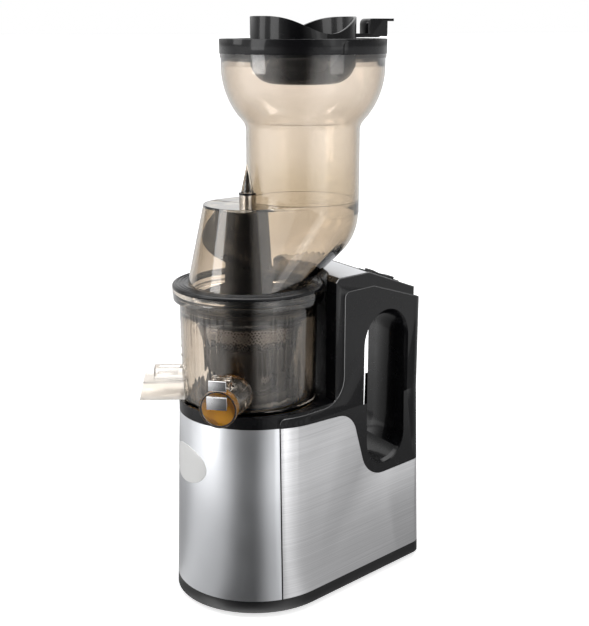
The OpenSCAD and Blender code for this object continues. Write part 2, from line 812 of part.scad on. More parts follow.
module juice_bowl() {
  t = clear_t;
  color("tan", 0.5) centred() difference() {
    union() {
      rotate_extrude() polygon([
        [0, bowl_floor_z], [48, bowl_floor_z], [48, seat_z], [52, seat_z], [52, bowl_floor_z],
        [bowl_r0, bowl_floor_z + 1], [bowl_r1, bowl_top_z], [flange_r - 0.5, bowl_top_z],
        [flange_r - 0.5, rim_z], [bowl_r1 - t, rim_z], [bowl_r1 - t, ledge_z + 3],
        [bowl_r1 - t, ledge_z], [bowl_r1 - t - 3, ledge_z], [bowl_r1 - t - 0.2, ledge_z - 5],
        [bowl_r0 - t, bowl_floor_z + bowl_floor_t], [track_r + 3.5, bowl_floor_z + bowl_floor_t],
        [track_r + 3.5, gear_z + 1], [track_r + 1.8, gear_z + 1],
        [track_r + 1.8, gear_z], [track_r - 1, gear_z],
        [track_r - 1, bowl_floor_z + bowl_floor_t], [0, bowl_floor_z + bowl_floor_t]]);
      translate([0, 0, seat_z + 0.5]) cylinder(r = 11, h = gear_z - seat_z - 0.5);
      translate([0, idler_r, bowl_floor_z + 1]) cylinder(r = 6, h = gear_z - bowl_floor_z - 1);
    }
    translate([0, 0, seat_z - 1]) cylinder(r = 8 + run_gap, h = 30);
    translate([0, idler_r, bowl_floor_z]) cylinder(r = idler_pin_r, h = 20);
    juice_way();
    pulp_way();
    // groove under the lid's gasket
    translate([0, 0, rim_z - gasket_t - seam_gap])
      ring_tube(gasket_r + seam_gap, gasket_r - gasket_w - seam_gap, 2*gasket_t);
  }
}

module juice_spout() {
  color("tan", 0.5) centred() difference() {
    union() {
      toward(spout_angle) translate([0, 0, juice_z]) rotate([0, 90, 0])
        translate([0, 0, bowl_r0 - 4]) cylinder(r1 = juice_r + 3.4, r2 = juice_r,
          h = juice_reach - bowl_r0 + 4);
      // hinge ears of the cap
      toward(spout_angle) for (y = [-7, 4]) translate([cap_hinge_r - 4, y, juice_z + 4])
        cube([juice_reach - 0.5 - cap_hinge_r + 4, 3, cap_hinge_z - juice_z - 1]);
    }
    bowl_solid();
    juice_way();
    toward(spout_angle) translate([cap_hinge_r, 12, cap_hinge_z]) rotate([90, 0, 0])
      cylinder(r = cap_pin_r, h = 24);
  }
}

module pulp_spout() {
  color("tan", 0.5) centred() difference() {
    union() {
      toward(-pulp_angle) translate([bowl_r0 - 4, -pulp_w/2, pulp_z])
        cube([pulp_reach - bowl_r0 + 4, pulp_w, pulp_h]);
      // lifting loop
      toward(-pulp_angle) difference() {
        translate([bowl_r0 - 1, -pulp_w/4, pulp_z + pulp_h - 1]) cube([24, pulp_w/2, 10]);
        translate([bowl_r0 + 4, -pulp_w, pulp_z + pulp_h + 3.5]) cube([16, 2*pulp_w, 2.2]);
      }
    }
    bowl_solid();
    pulp_way();
    // raked mouth
    toward(-pulp_angle) translate([pulp_reach, -pulp_w, pulp_z])
      rotate([0, -12, 0]) translate([0, 0, -20]) cube([20, 2*pulp_w, 60]);
  }
}

module bowl_seal() {
  color("darkorange") centred() translate([0, 0, seat_z]) ring_tube(47.8, 44, bowl_floor_z - seat_z);
}

module idler_pin() {
  color("silver") centred() translate([0, idler_r, bowl_floor_z]) {
    cylinder(r = idler_pin_r, h = gear_z + bowl_gear_w + 0.3 - bowl_floor_z);
    translate([0, 0, gear_z + bowl_gear_w + 0.3 - bowl_floor_z]) cylinder(r = idler_pin_r + 1.5, h = 1);
  }
}

idler_turn = mesh_turn(sun_z, idler_z, 90);
annulus_turn = 90 - (90 - idler_turn)*idler_z/annulus_z;

module idler_gear() {
  color("ivory") centred() translate([0, idler_r, gear_z]) difference() {
    rotate(idler_turn) spur(bowl_gear_m, idler_z, bowl_gear_w);
    translate([0, 0, -1]) cylinder(r = idler_pin_r + run_gap, h = 20);
  }
}

// outer radius of the strainer's wall at height z
function strainer_out(z) = strainer_t + along(z, [[strainer_foot_z, strainer_r0],
                                                  [funnel_z, strainer_r1]]);
strainer_foot_z = gear_z + bowl_gear_w + 7;
funnel_z = ledge_z - 8;

module brush_cage() {
  z0 = gear_z + bowl_gear_w;
  z1 = funnel_z - 1;
  r0 = strainer_out(z0 + 2.5) + brush_gap;
  r1 = strainer_out(z1) + brush_gap;
  windows = 8;
  color("dimgray") centred() difference() {
    union() {
      translate([0, 0, gear_z]) ring_tube(track_r + 1.4, track_r - 6, bowl_gear_w);
      translate([0, 0, z0]) ring_tube(track_r + 1.4, r0 + 0.5, 2.5);
      rotate_extrude() polygon([[r0, z0], [r0 + brush_t, z0], [r0 + brush_t, z0 + 2.5],
        [r1 + brush_t, z1], [r1, z1], [r0, z0 + 2.5]]);
    }
    translate([0, 0, gear_z - 1]) rotate(annulus_turn) linear_extrude(bowl_gear_w + 1)
      polygon(spaces(bowl_gear_m, annulus_z, backlash));
    for (k = [0:windows - 1]) rotate(k*360/windows) {
      translate([20, -7, z0 + 4]) cube([30, 14, 12]);
      translate([20, -11, z1 - 18]) cube([30, 22, 14]);
    }
    for (k = [0:2]) rotate(k*120 + 22.5) translate([20, -1.5, z0 + 18]) cube([30, 3, 18]);
  }
}

module brush_strips() {
  z0 = gear_z + bowl_gear_w + 18;
  r = strainer_out(z0 + 9) + brush_gap;
  color("gray") centred() for (k = [0:2]) rotate(k*120 + 22.5) difference() {
    translate([r - 3, -1.5, z0]) cube([brush_t + 4.5, 3, 18]);
    rotate_extrude() polygon([[0, z0 - 1], [strainer_out(z0 - 1) + 0.3, z0 - 1],
      [strainer_out(z0 + 19) + 0.3, z0 + 19], [0, z0 + 19]]);
  }
}

module strainer_frame() {
  z0 = strainer_foot_z - 5;
  r0 = strainer_r0;
  r1 = strainer_r1;
  t = strainer_t;
  rim_r = bowl_r1 - clear_t - 0.8;
  color("dimgray") centred() difference() {
    rotate_extrude() polygon([
      [core_r0 - 5, z0], [r0 + t, z0], [r0 + t, strainer_foot_z], [r1 + t, funnel_z],
      [rim_r - 2.2, ledge_z], [rim_r, ledge_z], [rim_r, ledge_z + 3], [rim_r - 4, ledge_z + 3],
      [r1, funnel_z], [r0, strainer_foot_z], [r0, z0 + 2], [core_r0 - 5, z0 + 2]]);
    for (k = [0:11]) rotate(k*30) {
      translate([20, -6, strainer_foot_z + 2]) cube([30, 12, 20]);
      translate([20, -7.5, strainer_foot_z + 25]) cube([30, 15, funnel_z - strainer_foot_z - 27]);
    }
  }
}

module strainer_mesh() {
  z0 = strainer_foot_z + 0.5;
  z1 = funnel_z - 0.5;
  r0 = strainer_out(z0) - strainer_t;
  r1 = strainer_out(z1) - strainer_t;
  color("silver") centred() rotate_extrude()
    polygon([[r0 - mesh_t, z0], [r0, z0], [r1, z1], [r1 - mesh_t, z1]]);
}

// --------------------------------------------------------------- auger

core_knots = [[strainer_foot_z, core_r0], [funnel_z, core_r0 - 4],
              [lid_z + 8, core_r1 + 3], [auger_top_z - 1, core_r1]];
// room for the flights: the strainer, its funnel and then the lid
flight_knots = [[strainer_foot_z, strainer_r0 - mesh_t - flight_gap],
                [funnel_z, strainer_r1 - mesh_t - flight_gap],
                [ledge_z + 3, bowl_r1 - clear_t - 6.5 - flight_gap],
                [rim_z, lid_r0 - clear_t - flight_gap],
                [lid_z + 3, lid_r0 - clear_t - flight_gap],
                [lid_deck_z, lid_r1 - clear_t - flight_gap]];
flight_step = 12;
first_drop = 34;
drop_keep = 0.515;
crest_level = lid_deck_z - 20.5;

// height of a flight after it has turned by a, which falls steeply at the top
function flight_z(a) = crest_level - flight_drop*a/90 - first_drop*(1 - pow(drop_keep, a/90));

// section of a flight: root, edge, edge, root
function flight_ring(a, lead, foot) =
  let (z = max(flight_z(a), foot), r0 = along(z, core_knots) - 2, r1 = along(z, flight_knots),
       c = [cos(240 + lead + a), sin(240 + lead + a)])
  [[r0*c[0], r0*c[1], z - flight_t], [r1*c[0], r1*c[1], z - flight_t/2],
   [r1*c[0], r1*c[1], z + flight_t/2], [r0*c[0], r0*c[1], z + flight_t]];

module flight(a0, a1, lead) {
  n = floor((a1 - a0)/flight_step);
  points = [for (i = [0:n]) each flight_ring(a0 + i*flight_step, lead, strainer_foot_z + flight_t)];
  faces = concat([[3, 2, 1, 0]],
    [for (i = [0:n - 1], k = [0:3]) let (m = (k + 1) % 4)
      each [[4*i + 4 + m, 4*i + 4 + k, 4*i + k], [4*i + m, 4*i + 4 + m, 4*i + k]]],
    [[4*n, 4*n + 1, 4*n + 2, 4*n + 3]]);
  polyhedron(points, faces, convexity = 8);
}

module auger() {
  neck_z = gear_z + bowl_gear_w;
  color("black") centred() {
    difference() {
      union() {
        translate([0, 0, seat_z + 0.5]) cylinder(r = 8, h = gear_z - seat_z);
        translate([0, 0, gear_z]) spur(bowl_gear_m, sun_z, bowl_gear_w);
        rotate_extrude() polygon(concat(
          [[0, neck_z - 1], [8, neck_z - 1], [8, neck_z + 0.5], [core_r0 - 6, neck_z + 2],
           [core_r0 - 6, strainer_foot_z - 2],
           [core_r0, strainer_foot_z - 2]],
          [for (k = core_knots) [k[1], k[0]]], [[core_r1 - 1, auger_top_z], [0, auger_top_z]]));
      }
      translate([0, 0, seat_z - 1]) cylinder(r = (drive_af/2 + 0.1)/cos(30), h = 26, $fn = 6);
      translate([0, 0, auger_top_z - 10]) cylinder(r = 3, h = 20);
    }
    flight(-34, 1130, 0);
    flight(248, 1130, 180);
  }
}

module auger_pin() {
  color("silver") centred() translate([0, 0, auger_top_z - 10])
    cylinder(r = 3, h = lid_deck_z - auger_top_z + 16);
}

// ------------------------------------------------------------ juice cap

module juice_cap() {
  x0 = juice_reach + cap_depth;
  color("tan", 0.5) centred() toward(spout_angle) difference() {
    union() {
      translate([x0, 0, juice_z]) rotate([0, 90, 0]) cylinder(r = cap_r, h = cap_t);
      // lip round the seal
      translate([juice_reach + 0.3, 0, juice_z]) rotate([0, 90, 0])
        ring_tube(cap_r, cap_r - 1.6, cap_depth);
      // hinge arm
      translate([cap_hinge_r - 3, -3.6, cap_hinge_z - 3]) cube([x0 + cap_t - cap_hinge_r + 3, 7.2, 6]);
      translate([x0, -3.6, juice_z + cap_r - 4]) cube([cap_t, 7.2, cap_hinge_z - juice_z - cap_r + 4]);
      // thumb tab
      translate([x0 + cap_t - 0.5, -7.5, juice_z + 1]) cube([tab_l + 0.5, 15, 9]);
    }
    translate([cap_hinge_r, 10, cap_hinge_z]) rotate([90, 0, 0])
      cylinder(r = cap_pin_r + run_gap, h = 20);
    translate([x0 + cap_t + 0.8, -6, juice_z]) cube([1.2, 12, 8.5]);
  }
}

module cap_seal() {
  color("goldenrod") centred() toward(spout_angle) translate([juice_reach + 0.2, 0, juice_z])
    rotate([0, 90, 0]) {
      cylinder(r = cap_r - 1.6, h = cap_depth - 0.2);
      translate([0, 0, -2.5]) ring_tube(juice_bore_r - 0.4, juice_bore_r - 2.4, 3);
    }
}

module cap_pin() {
  color("silver") centred() toward(spout_angle) translate([cap_hinge_r, 7, cap_hinge_z])
    rotate([90, 0, 0]) cylinder(r = cap_pin_r, h = 14);
}

// ---------------------------------------------------------- lid and hopper

scoop_z = lid_deck_z - 10.5;
hopper_cz = ring_z - 10;
hopper_cx = hopper_r - hopper_curve;
neck_r = 12;
neck_cz = hopper_cz - sqrt(pow(hopper_curve + neck_r, 2) - pow(chute_r + neck_r - hopper_cx, 2));
neck_a = asin((hopper_cz - neck_cz)/(hopper_curve + neck_r));

// (radius, z) side of tube and hopper, moved inwards by t, from z0 up
function hopper_side(t, z0) = concat(
  [[0, z0], [chute_r - t, z0]],
  arc([chute_r + neck_r, neck_cz], neck_r + t, 180, 180 - neck_a, 8),
  arc([hopper_cx, hopper_cz], hopper_curve - t, -neck_a, 0, 14),
  [[hopper_r - t, ring_z - 3]]);

// the dome is drawn this much smaller than what grows out of it
dome_weld = 0.4;

module lid_body(t, top) {
  hull() {
    translate([0, 0, lid_z]) cylinder(r1 = lid_r0 - t, r2 = lid_r1 - t, h = top - lid_z, $fn = 72);
    translate([0, chute_y, scoop_z]) intersection() {
      sphere(r = chute_r - dome_weld - t, $fn = 60);
      translate([-far/2, -far/2, -far/2]) cube([far, far, far/2 + top - scoop_z]);
    }
  }
}

spike_h = 22;
bush_boss_r = 6.5;

module hopper_lid() {
  t = clear_t;
  boss_h = 8.5;
  color("tan", 0.5) centred() difference() {
    union() {
      lid_body(0, lid_deck_z);
      // rim that closes on the bowl
      translate([0, 0, rim_z]) cylinder(r = flange_r, h = rim_h - 3);
      translate([0, 0, rim_z]) cylinder(r = lid_r0 - dome_weld, h = rim_h + dome_weld);
      translate([0, chute_y, scoop_z]) cylinder(r = chute_r, h = lid_deck_z - scoop_z);
      translate([0, 0, lid_deck_z - 1]) cylinder(r = bush_boss_r, h = boss_h + 1);
      translate([0, 0, lid_deck_z + boss_h - 1]) cylinder(r1 = bush_boss_r - 1.4, r2 = 0.4,
        h = spike_h + 1);
      for (a = [0:60:120]) rotate(a) translate([-0.5, 0, lid_deck_z + boss_h]) rotate([90, 0, 90])
        linear_extrude(1) polygon([[-bush_boss_r + 0.7, -1], [bush_boss_r - 0.7, -1],
          [0.5, spike_h - 2], [-0.5, spike_h - 2]]);
    }
    lid_body(t, lid_deck_z - t);
    translate([0, 0, rim_z - 1]) cylinder(r = lid_r0 - dome_weld - t, h = rim_h + 1 + dome_weld);
    translate([0, chute_y, scoop_z]) cylinder(r = chute_r - t, h = far);
    // the hopper stands on the deck, against the boss
    translate([0, chute_y, lid_deck_z]) cylinder(r = chute_r, h = far);
    // blind seat of the top bush
    translate([0, 0, lid_deck_z - 4]) cylinder(r = 4.5, h = 11);
  }
}

// chute and hopper in one, welded to the lid's deck
module feed_hopper() {
  t = clear_t;
  color("tan", 0.5) centred() translate([0, chute_y, 0]) difference() {
    rotate_extrude() polygon(concat(hopper_side(0, lid_deck_z),
      [[hopper_r + 0.7, ring_z - 3], [hopper_r + 0.7, ring_z], [hopper_r - 1.6, ring_z],
       [hopper_r - 1.6, ring_top_z - 4], [0, ring_top_z - 4]]));
    rotate_extrude() polygon(concat(hopper_side(t, lid_deck_z - 1),
      [[hopper_r - t - 1.6, ring_z], [hopper_r - t - 1.6, ring_top_z], [0, ring_top_z]]));
  }
}

module lid_ring() {
  color("black") centred() translate([0, 0, rim_z + rim_h - 3]) difference() {
    rotate_extrude() polygon([[lid_r0 + 0.05, 0], [flange_r, 0], [flange_r, 1.8],
      [flange_r - 1.2, 3], [lid_r0 + 1.2, 3], [lid_r0 + 0.05, 3]]);
  }
}

module lid_gasket() {
  color("dimgray") centred() translate([0, 0, rim_z - gasket_t])
    ring_tube(gasket_r, gasket_r - gasket_w, gasket_t);
}

module top_bush() {
  color("goldenrod") centred() translate([0, 0, lid_deck_z - clear_t])
    ring_tube(4.5, 3 + run_gap, 9);
}

ring_r = hopper_r + 1;

module hopper_ring() {
  wall = 2.4;
  color("black") centred() translate([0, chute_y, 0]) difference() {
    union() {
      translate([0, 0, ring_z]) cylinder(r = ring_r, h = ring_h);
      // round-topped bosses over the pivots
      for (s = [-1, 1]) translate([s*ring_r, 0, 0]) rotate([90, 0, 90])
        translate([0, 0, -1.5]) linear_extrude(2.4) {
          translate([0, ring_top_z - 5.5]) circle(4);
          translate([-4, ring_z]) square([8, ring_h - 5.5]);
        }
    }
    translate([0, 0, ring_z - 1]) cylinder(r = ring_r - wall, h = ring_h - 1.6);
    intersection() {
      cylinder(r = cup_open_y, h = far*3);
      translate([-cup_r - 2.5, -far, 0]) cube([2*cup_r + 5, 2*far, far*3]);
    }
  }
  // ears that carry the cup's pins, under the ring's top
  color("black") centred() translate([0, chute_y, 0]) for (s = [-1, 1]) difference() {
    translate([s*pivot_x - 2, -5, ring_z - 3]) cube([4, 10, ring_h + 0.8]);
    translate([s*pivot_x - 5, 0, pivot_z]) rotate([0, 90, 0]) cylinder(r = pivot_r + run_gap, h = 10);
  }
}

// height of the cup's edge over the distance y from its middle
function cup_edge(y) = ring_top_z + cup_rise
  - cup_dip*(1 + cos(180*min(abs(y)/cup_r, 1)))/2;

lever_y = 56;
lever_l = 18.5;
lever_w = 12;
lever_h = 15;

module flip_cup() {
  z0 = ring_top_z - cup_depth;
  r = 18;
  t = cup_t;
  top = ring_top_z + cup_rise;
  color("black") centred() translate([0, chute_y, 0]) {
    difference() {
      rotate_extrude() polygon(concat([[0, z0]], arc([cup_r - r, z0 + r], r, -90, 0),
        [[cup_r, top], [cup_r - t, top]],
        arc([cup_r - r, z0 + r], r - t, 0, -90), [[0, z0 + t]]));
      // waved edge, low over the pivots
      across(-far, far) polygon(concat(
        [for (y = [-cup_r - 1:2:cup_r + 1]) [y, cup_edge(y)]],
        [[cup_r + 2, top + 0.1], [cup_r + 2, top + 30], [-cup_r - 2, top + 30],
         [-cup_r - 2, top + 0.1]]));
      for (s = [-1, 1]) translate([s > 0 ? 30 : -50, 0, pivot_z]) rotate([0, 90, 0])
        cylinder(r = pivot_r, h = 20);
    }
    // arm over the ring and thumb lever behind it
    translate([-lever_w/2, cup_r - 1, ring_top_z + 0.6]) cube([lever_w, lever_y - cup_r + 10, 3]);
    across(-lever_w/2, lever_w/2) polygon(concat(
      [[lever_y, ring_top_z + 2]],
      arc([lever_y + 4, ring_top_z + lever_h - 4], 4, 180, 90, 4),
      [[lever_y + lever_l + 6, ring_top_z + lever_h], [lever_y + lever_l + 6, ring_top_z + lever_h - 2],
       [lever_y + lever_l, ring_top_z + lever_h - 2], [lever_y + lever_l, ring_top_z + 1.4],
       [lever_y + 12, ring_top_z + 1.4], [lever_y + 10, ring_top_z + 0.6]]));
  }
}

module flip_cup_pins() {
  color("silver") centred() translate([0, chute_y, pivot_z]) for (s = [-1, 1])
    translate([s > 0 ? cup_r - cup_t : -pivot_x - 2, 0, 0]) rotate([0, 90, 0])
      cylinder(r = pivot_r, h = pivot_x + 2 - cup_r + cup_t);
}

// ---------------------------------------------------------------------

rubber_feet();
base_plate();
base_shell();
front_panel();
side_panel_right();
side_panel_left();
rear_panel();
cord_gland();
motor_can();
stator();
motor_rotor();
motor_fan();
motor_bushes();
gearbox_case();
gearbox_cover();
layshaft_pin();
cluster_gear();
output_gear();
output_bush();
frame_screws();
control_board();
capacitor();
upper_housing();
handle_cover_right();
handle_cover_left();
switch_bezel();
rocker_switch();
juice_bowl();
juice_spout();
pulp_spout();
bowl_seal();
idler_pin();
idler_gear();
brush_cage();
brush_strips();
strainer_frame();
strainer_mesh();
auger();
auger_pin();
juice_cap();
cap_seal();
cap_pin();
hopper_lid();
feed_hopper();
lid_ring();
top_bush();
lid_gasket();
hopper_ring();
flip_cup();
flip_cup_pins();
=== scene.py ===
"""Cold press juicer: shapes, finishes and studio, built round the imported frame.

Lengths are in metres unless a name or docstring says millimetres. Directions from the front are
degrees, positive towards the side with the juice spout.
"""

import json
import logging
import math
from dataclasses import dataclass, field
from enum import Enum

import bmesh
import bpy
from mathutils import Matrix, Vector


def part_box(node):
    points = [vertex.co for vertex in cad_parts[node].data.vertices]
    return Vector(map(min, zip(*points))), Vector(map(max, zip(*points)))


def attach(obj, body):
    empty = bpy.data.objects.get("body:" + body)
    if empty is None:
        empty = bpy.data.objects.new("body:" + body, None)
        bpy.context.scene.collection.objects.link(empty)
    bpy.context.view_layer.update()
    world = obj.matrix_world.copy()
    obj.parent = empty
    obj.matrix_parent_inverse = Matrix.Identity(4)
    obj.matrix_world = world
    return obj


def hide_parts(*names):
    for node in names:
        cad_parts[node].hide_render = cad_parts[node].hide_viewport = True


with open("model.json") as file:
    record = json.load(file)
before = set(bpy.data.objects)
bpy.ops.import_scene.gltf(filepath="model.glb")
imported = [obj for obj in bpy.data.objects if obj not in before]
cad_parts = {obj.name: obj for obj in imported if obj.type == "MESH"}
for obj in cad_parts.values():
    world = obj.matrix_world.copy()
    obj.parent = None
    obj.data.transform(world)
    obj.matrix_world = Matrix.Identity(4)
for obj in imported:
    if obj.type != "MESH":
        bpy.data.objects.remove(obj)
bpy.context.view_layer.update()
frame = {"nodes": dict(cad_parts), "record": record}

log = logging.getLogger("juicer")

MM = 0.001
MERGE = 0.001 * MM  # corners nearer than this are one corner
FLAT = 0.25  # degrees between faces that count as one flat face
SHARP = 34.0  # degrees between faces of a CAD node, past which its edge is a real one
SMOOTH = 32.0  # degrees between faces of the scene's own pieces that shade smoothly
FACING, TURNED = 0.9, 0.75  # a face looks to a side above the first, and away from it below the second
SUNK = 0.6  # share of an edge line's radius that lies in the surface
QUARTER_TURN = 0.25  # turns the brushed metal's gloss across its level lines

Colour = tuple[float, float, float]
Profile = tuple[tuple[float, float], ...]
Socket = bpy.types.NodeSocket


def auger_axis() -> Vector:
    """Return the auger's axis at floor level, read from its top pin."""
    low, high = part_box("auger_pin")
    return Vector(((low[0] + high[0]) / 2, (low[1] + high[1]) / 2, 0.0))


AXIS = auger_axis()


class Side(Enum):
    """The juicer's sides, as the sign of X."""

    RIGHT = 1
    LEFT = -1


class Slope(Enum):
    """How a mapped value goes from one end of its span to the other."""

    EVEN = "LINEAR"
    SOFT = "SMOOTHSTEP"


# ---------------------------------------------------------------------------
# Shader node groups


class Tool:
    """Short calls for building a node tree."""

    def __init__(self, tree: bpy.types.NodeTree) -> None:
        """Keep the tree that the calls add to.

        Args:
            tree: the node tree to build in.
        """
        self.tree = tree

    def node(self, kind: str, **values: object) -> bpy.types.Node:
        """Add a node and set its properties.

        Args:
            kind: the node's Blender type name.
            values: properties of the node by name.

        Returns:
            The new node.
        """
        made = self.tree.nodes.new(kind)
        for key, value in values.items():
            setattr(made, key, value)
        return made

    def link(self, source: Socket, target: Socket) -> None:
        """Join two sockets."""
        self.tree.links.new(source, target)

    def math(self, operation: str, a: object, b: object = None) -> Socket:
        """Add a math node.

        Args:
            operation: the node's operation.
            a: first value or socket.
            b: second value or socket, if the operation takes one.

        Returns:
            The node's output socket.
        """
        made = self.node("ShaderNodeMath", operation=operation)
        for socket, value in zip(made.inputs, (a, b)):
            if isinstance(value, Socket):
                self.link(value, socket)
            elif value is not None:
                socket.default_value = value
        return made.outputs[0]

    def length(self, x: Socket, y: Socket) -> Socket:
        """Return the length of a flat vector."""
        return self.math("SQRT", self.math("ADD", self.math("MULTIPLY", x, x), self.math("MULTIPLY", y, y)))

    def remap(self, value: Socket, source: tuple[float, float], target: tuple[float, float],
              slope: Slope = Slope.EVEN) -> Socket:
        """Map a value from one span to another and hold it at the ends.

        Args:
            value: the value.
            source: the span that it is read in.
            target: the span that it comes out in.
            slope: how it goes from one end to the other.

        Returns:
            The mapped value.
        """
        made = self.node("ShaderNodeMapRange", interpolation_type=slope.value)
        for key, number in zip(("From Min", "From Max", "To Min", "To Max"), (*source, *target)):
            made.inputs[key].default_value = number
        self.link(value, made.inputs["Value"])
        return made.outputs[0]

    def object_space(self, scale: tuple[float, float, float]) -> Socket:
        """Read object coordinates from the auger's axis at the floor.

        Args:
            scale: how far each direction is stretched.

        Returns:
            The coordinates.
        """
        place = self.node("ShaderNodeTexCoord")
        mapping = self.node("ShaderNodeMapping", vector_type="POINT")
        mapping.inputs["Location"].default_value = tuple(-a * s for a, s in zip(AXIS, scale))
        mapping.inputs["Scale"].default_value = scale
        self.link(place.outputs["Object"], mapping.inputs["Vector"])
        return mapping.outputs[0]

    def axis_place(self) -> tuple[Socket, ...]:
        """Return X, Y and Z on the object, from the auger's axis at the floor."""
        parts = self.node("ShaderNodeSeparateXYZ")
        self.link(self.object_space((1.0, 1.0, 1.0)), parts.inputs[0])
        return tuple(parts.outputs)


def straight_view(tool: Tool) -> tuple[Socket, Socket]:
    """Tell straight views from mirrored ones.

    Args:
        tool: the tool of the material's or world's own tree.

    Returns:
        A socket that is 1 for rays from the camera, also through clear plastic, and one that is
        1 after a mirror reflection.
    """
    rays = tool.node("ShaderNodeLightPath")
    half_bounce = 0.5
    seen = tool.math("MAXIMUM", rays.outputs["Is Camera Ray"], rays.outputs["Is Transmission Ray"])
    bounced = tool.math("ADD", rays.outputs["Glossy Depth"], rays.outputs["Diffuse Depth"])
    straight = tool.math("MULTIPLY", seen, tool.math("LESS_THAN", bounced, half_bounce))
    return straight, tool.math("GREATER_THAN", rays.outputs["Glossy Depth"], half_bounce)


def new_group(name: str, inputs: dict[str, float], outputs: tuple[str, ...]
              ) -> tuple[bpy.types.NodeTree, Tool, bpy.types.Node, bpy.types.Node]:
    """Start a shader node group with named sockets.

    Args:
        name: the group's name.
        inputs: socket names with their default values.
        outputs: names of the float outputs.

    Returns:
        The group, its Tool, its input node and its output node.
    """
    group = bpy.data.node_groups.new(name, "ShaderNodeTree")
    for key, value in inputs.items():
        made = group.interface.new_socket(key, in_out="INPUT", socket_type="NodeSocketFloat")
        made.default_value = value
    for key in outputs:
        group.interface.new_socket(key, in_out="OUTPUT", socket_type="NodeSocketFloat")
    tool = Tool(group)
    return group, tool, tool.node("NodeGroupInput"), tool.node("NodeGroupOutput")


def noise(tool: Tool, space: Socket, scale: Socket, detail: float) -> Socket:
    """Add a noise texture.

    Args:
        tool: the tree's tool.
        space: the coordinates it reads.
        scale: how many waves it has to a metre.
        detail: how many finer layers it has.

    Returns:
        The noise value.
    """
    made = tool.node("ShaderNodeTexNoise")
    made.inputs["Detail"].default_value = detail
    tool.link(space, made.inputs["Vector"])
    tool.link(scale, made.inputs["Scale"])
    return made.outputs[0]


def moulded_group() -> bpy.types.NodeTree:
    """Build the surface of a moulding: fine grain, slow waves and faint marks of handling.

    Returns:
        The group, with outputs Grain, Wave and Smudge.
    """
    group, tool, gin, gout = new_group(
        "moulded_surface", {"Grain Scale": 1800.0, "Wave Scale": 18.0, "Smudge Scale": 40.0},
        ("Grain", "Wave", "Smudge"))
    space = tool.object_space((1.0, 1.0, 1.0))
    tool.link(noise(tool, space, gin.outputs["Grain Scale"], detail=2.0), gout.inputs["Grain"])
    tool.link(noise(tool, space, gin.outputs["Wave Scale"], detail=2.0), gout.inputs["Wave"])
    smudge = noise(tool, space, gin.outputs["Smudge Scale"], detail=6.0)
    tool.link(tool.remap(smudge, (0.42, 0.68), (0.0, 1.0)), gout.inputs["Smudge"])
    return group


def brushed_group() -> bpy.types.NodeTree:
    """Build level brush lines: long fine scratches with broader streaks.

    Returns:
        The group, with outputs Line and Streak.
    """
    group, tool, gin, gout = new_group(
        "brush_lines", {"Line Scale": 1.0, "Streak Scale": 1.0}, ("Line", "Streak"))
    fine = noise(tool, tool.object_space((30.0, 30.0, 7000.0)), gin.outputs["Line Scale"], detail=3.0)
    broad = noise(tool, tool.object_space((9.0, 9.0, 2400.0)), gin.outputs["Streak Scale"], detail=4.0)
    tool.link(fine, gout.inputs["Line"])
    tool.link(broad, gout.inputs["Streak"])
    return group


def holes_group() -> bpy.types.NodeTree:
    """Build rows of small holes round the auger's axis.

    Returns:
        The group, with output Metal, 1 between the holes and 0 in them.
    """
    group, tool, gin, gout = new_group(
        "hole_rows", {"Round": 96.0, "Pitch": 0.0023, "Hole": 0.34}, ("Metal",))
    x, y, z = tool.axis_place()
    around = tool.math("DIVIDE", tool.math("ARCTAN2", y, x), 2 * math.pi)
    row = tool.math("DIVIDE", z, gin.outputs["Pitch"])
    shift = tool.math("MULTIPLY", tool.math("MODULO", tool.math("FLOOR", row), 2.0), 0.5)
    column = tool.math("ADD", tool.math("MULTIPLY", around, gin.outputs["Round"]), shift)
    u, v = (tool.math("SUBTRACT", tool.math("FRACT", count), 0.5) for count in (column, row))
    tool.link(tool.math("GREATER_THAN", tool.length(u, v), gin.outputs["Hole"]), gout.inputs["Metal"])
    return group


def height_group() -> bpy.types.NodeTree:
    """Build the share of the way up between two heights.

    Returns:
        The group, with inputs Low and High and output Share.
    """
    group, tool, gin, gout = new_group("height_share", {"Low": 0.15, "High": 0.45}, ("Share",))
    above = tool.math("SUBTRACT", tool.axis_place()[2], gin.outputs["Low"])
    span = tool.math("SUBTRACT", gin.outputs["High"], gin.outputs["Low"])
    tool.link(tool.math("DIVIDE", above, span), gout.inputs["Share"])
    return group


def room_group(levels: Profile) -> bpy.types.NodeTree:
    """Build the brightness of the studio by direction.

    Args:
        levels: pairs of azimuth from the front, in degrees, and brightness.

    Returns:
        The group, with inputs X and Y and output Level.
    """
    group, tool, gin, gout = new_group("room_level", {"X": 0.0, "Y": 0.0}, ("Level",))
    angle = tool.math("ARCTAN2", gin.outputs["X"], tool.math("MULTIPLY", gin.outputs["Y"], -1.0))
    ramp = tool.node("ShaderNodeValToRGB")
    ramp.color_ramp.interpolation = "EASE"
    stops = ramp.color_ramp.elements
    for at, level in levels[1:-1]:
        stops.new(0.5 + at / 360.0)
    for stop, (at, level) in zip(stops, levels):
        stop.position = 0.5 + at / 360.0
        stop.color = (level, level, level, 1)
    tool.link(tool.math("ADD", tool.math("DIVIDE", angle, 2 * math.pi), 0.5), ramp.inputs[0])
    tool.link(ramp.outputs[0], gout.inputs["Level"])
    return group


# ---------------------------------------------------------------------------
# Finishes


class Surface(Enum):
    """How a finish's surface was made."""

    MOULDED = "moulded"
    BRUSHED = "brushed"
    PERFORATED = "perforated"


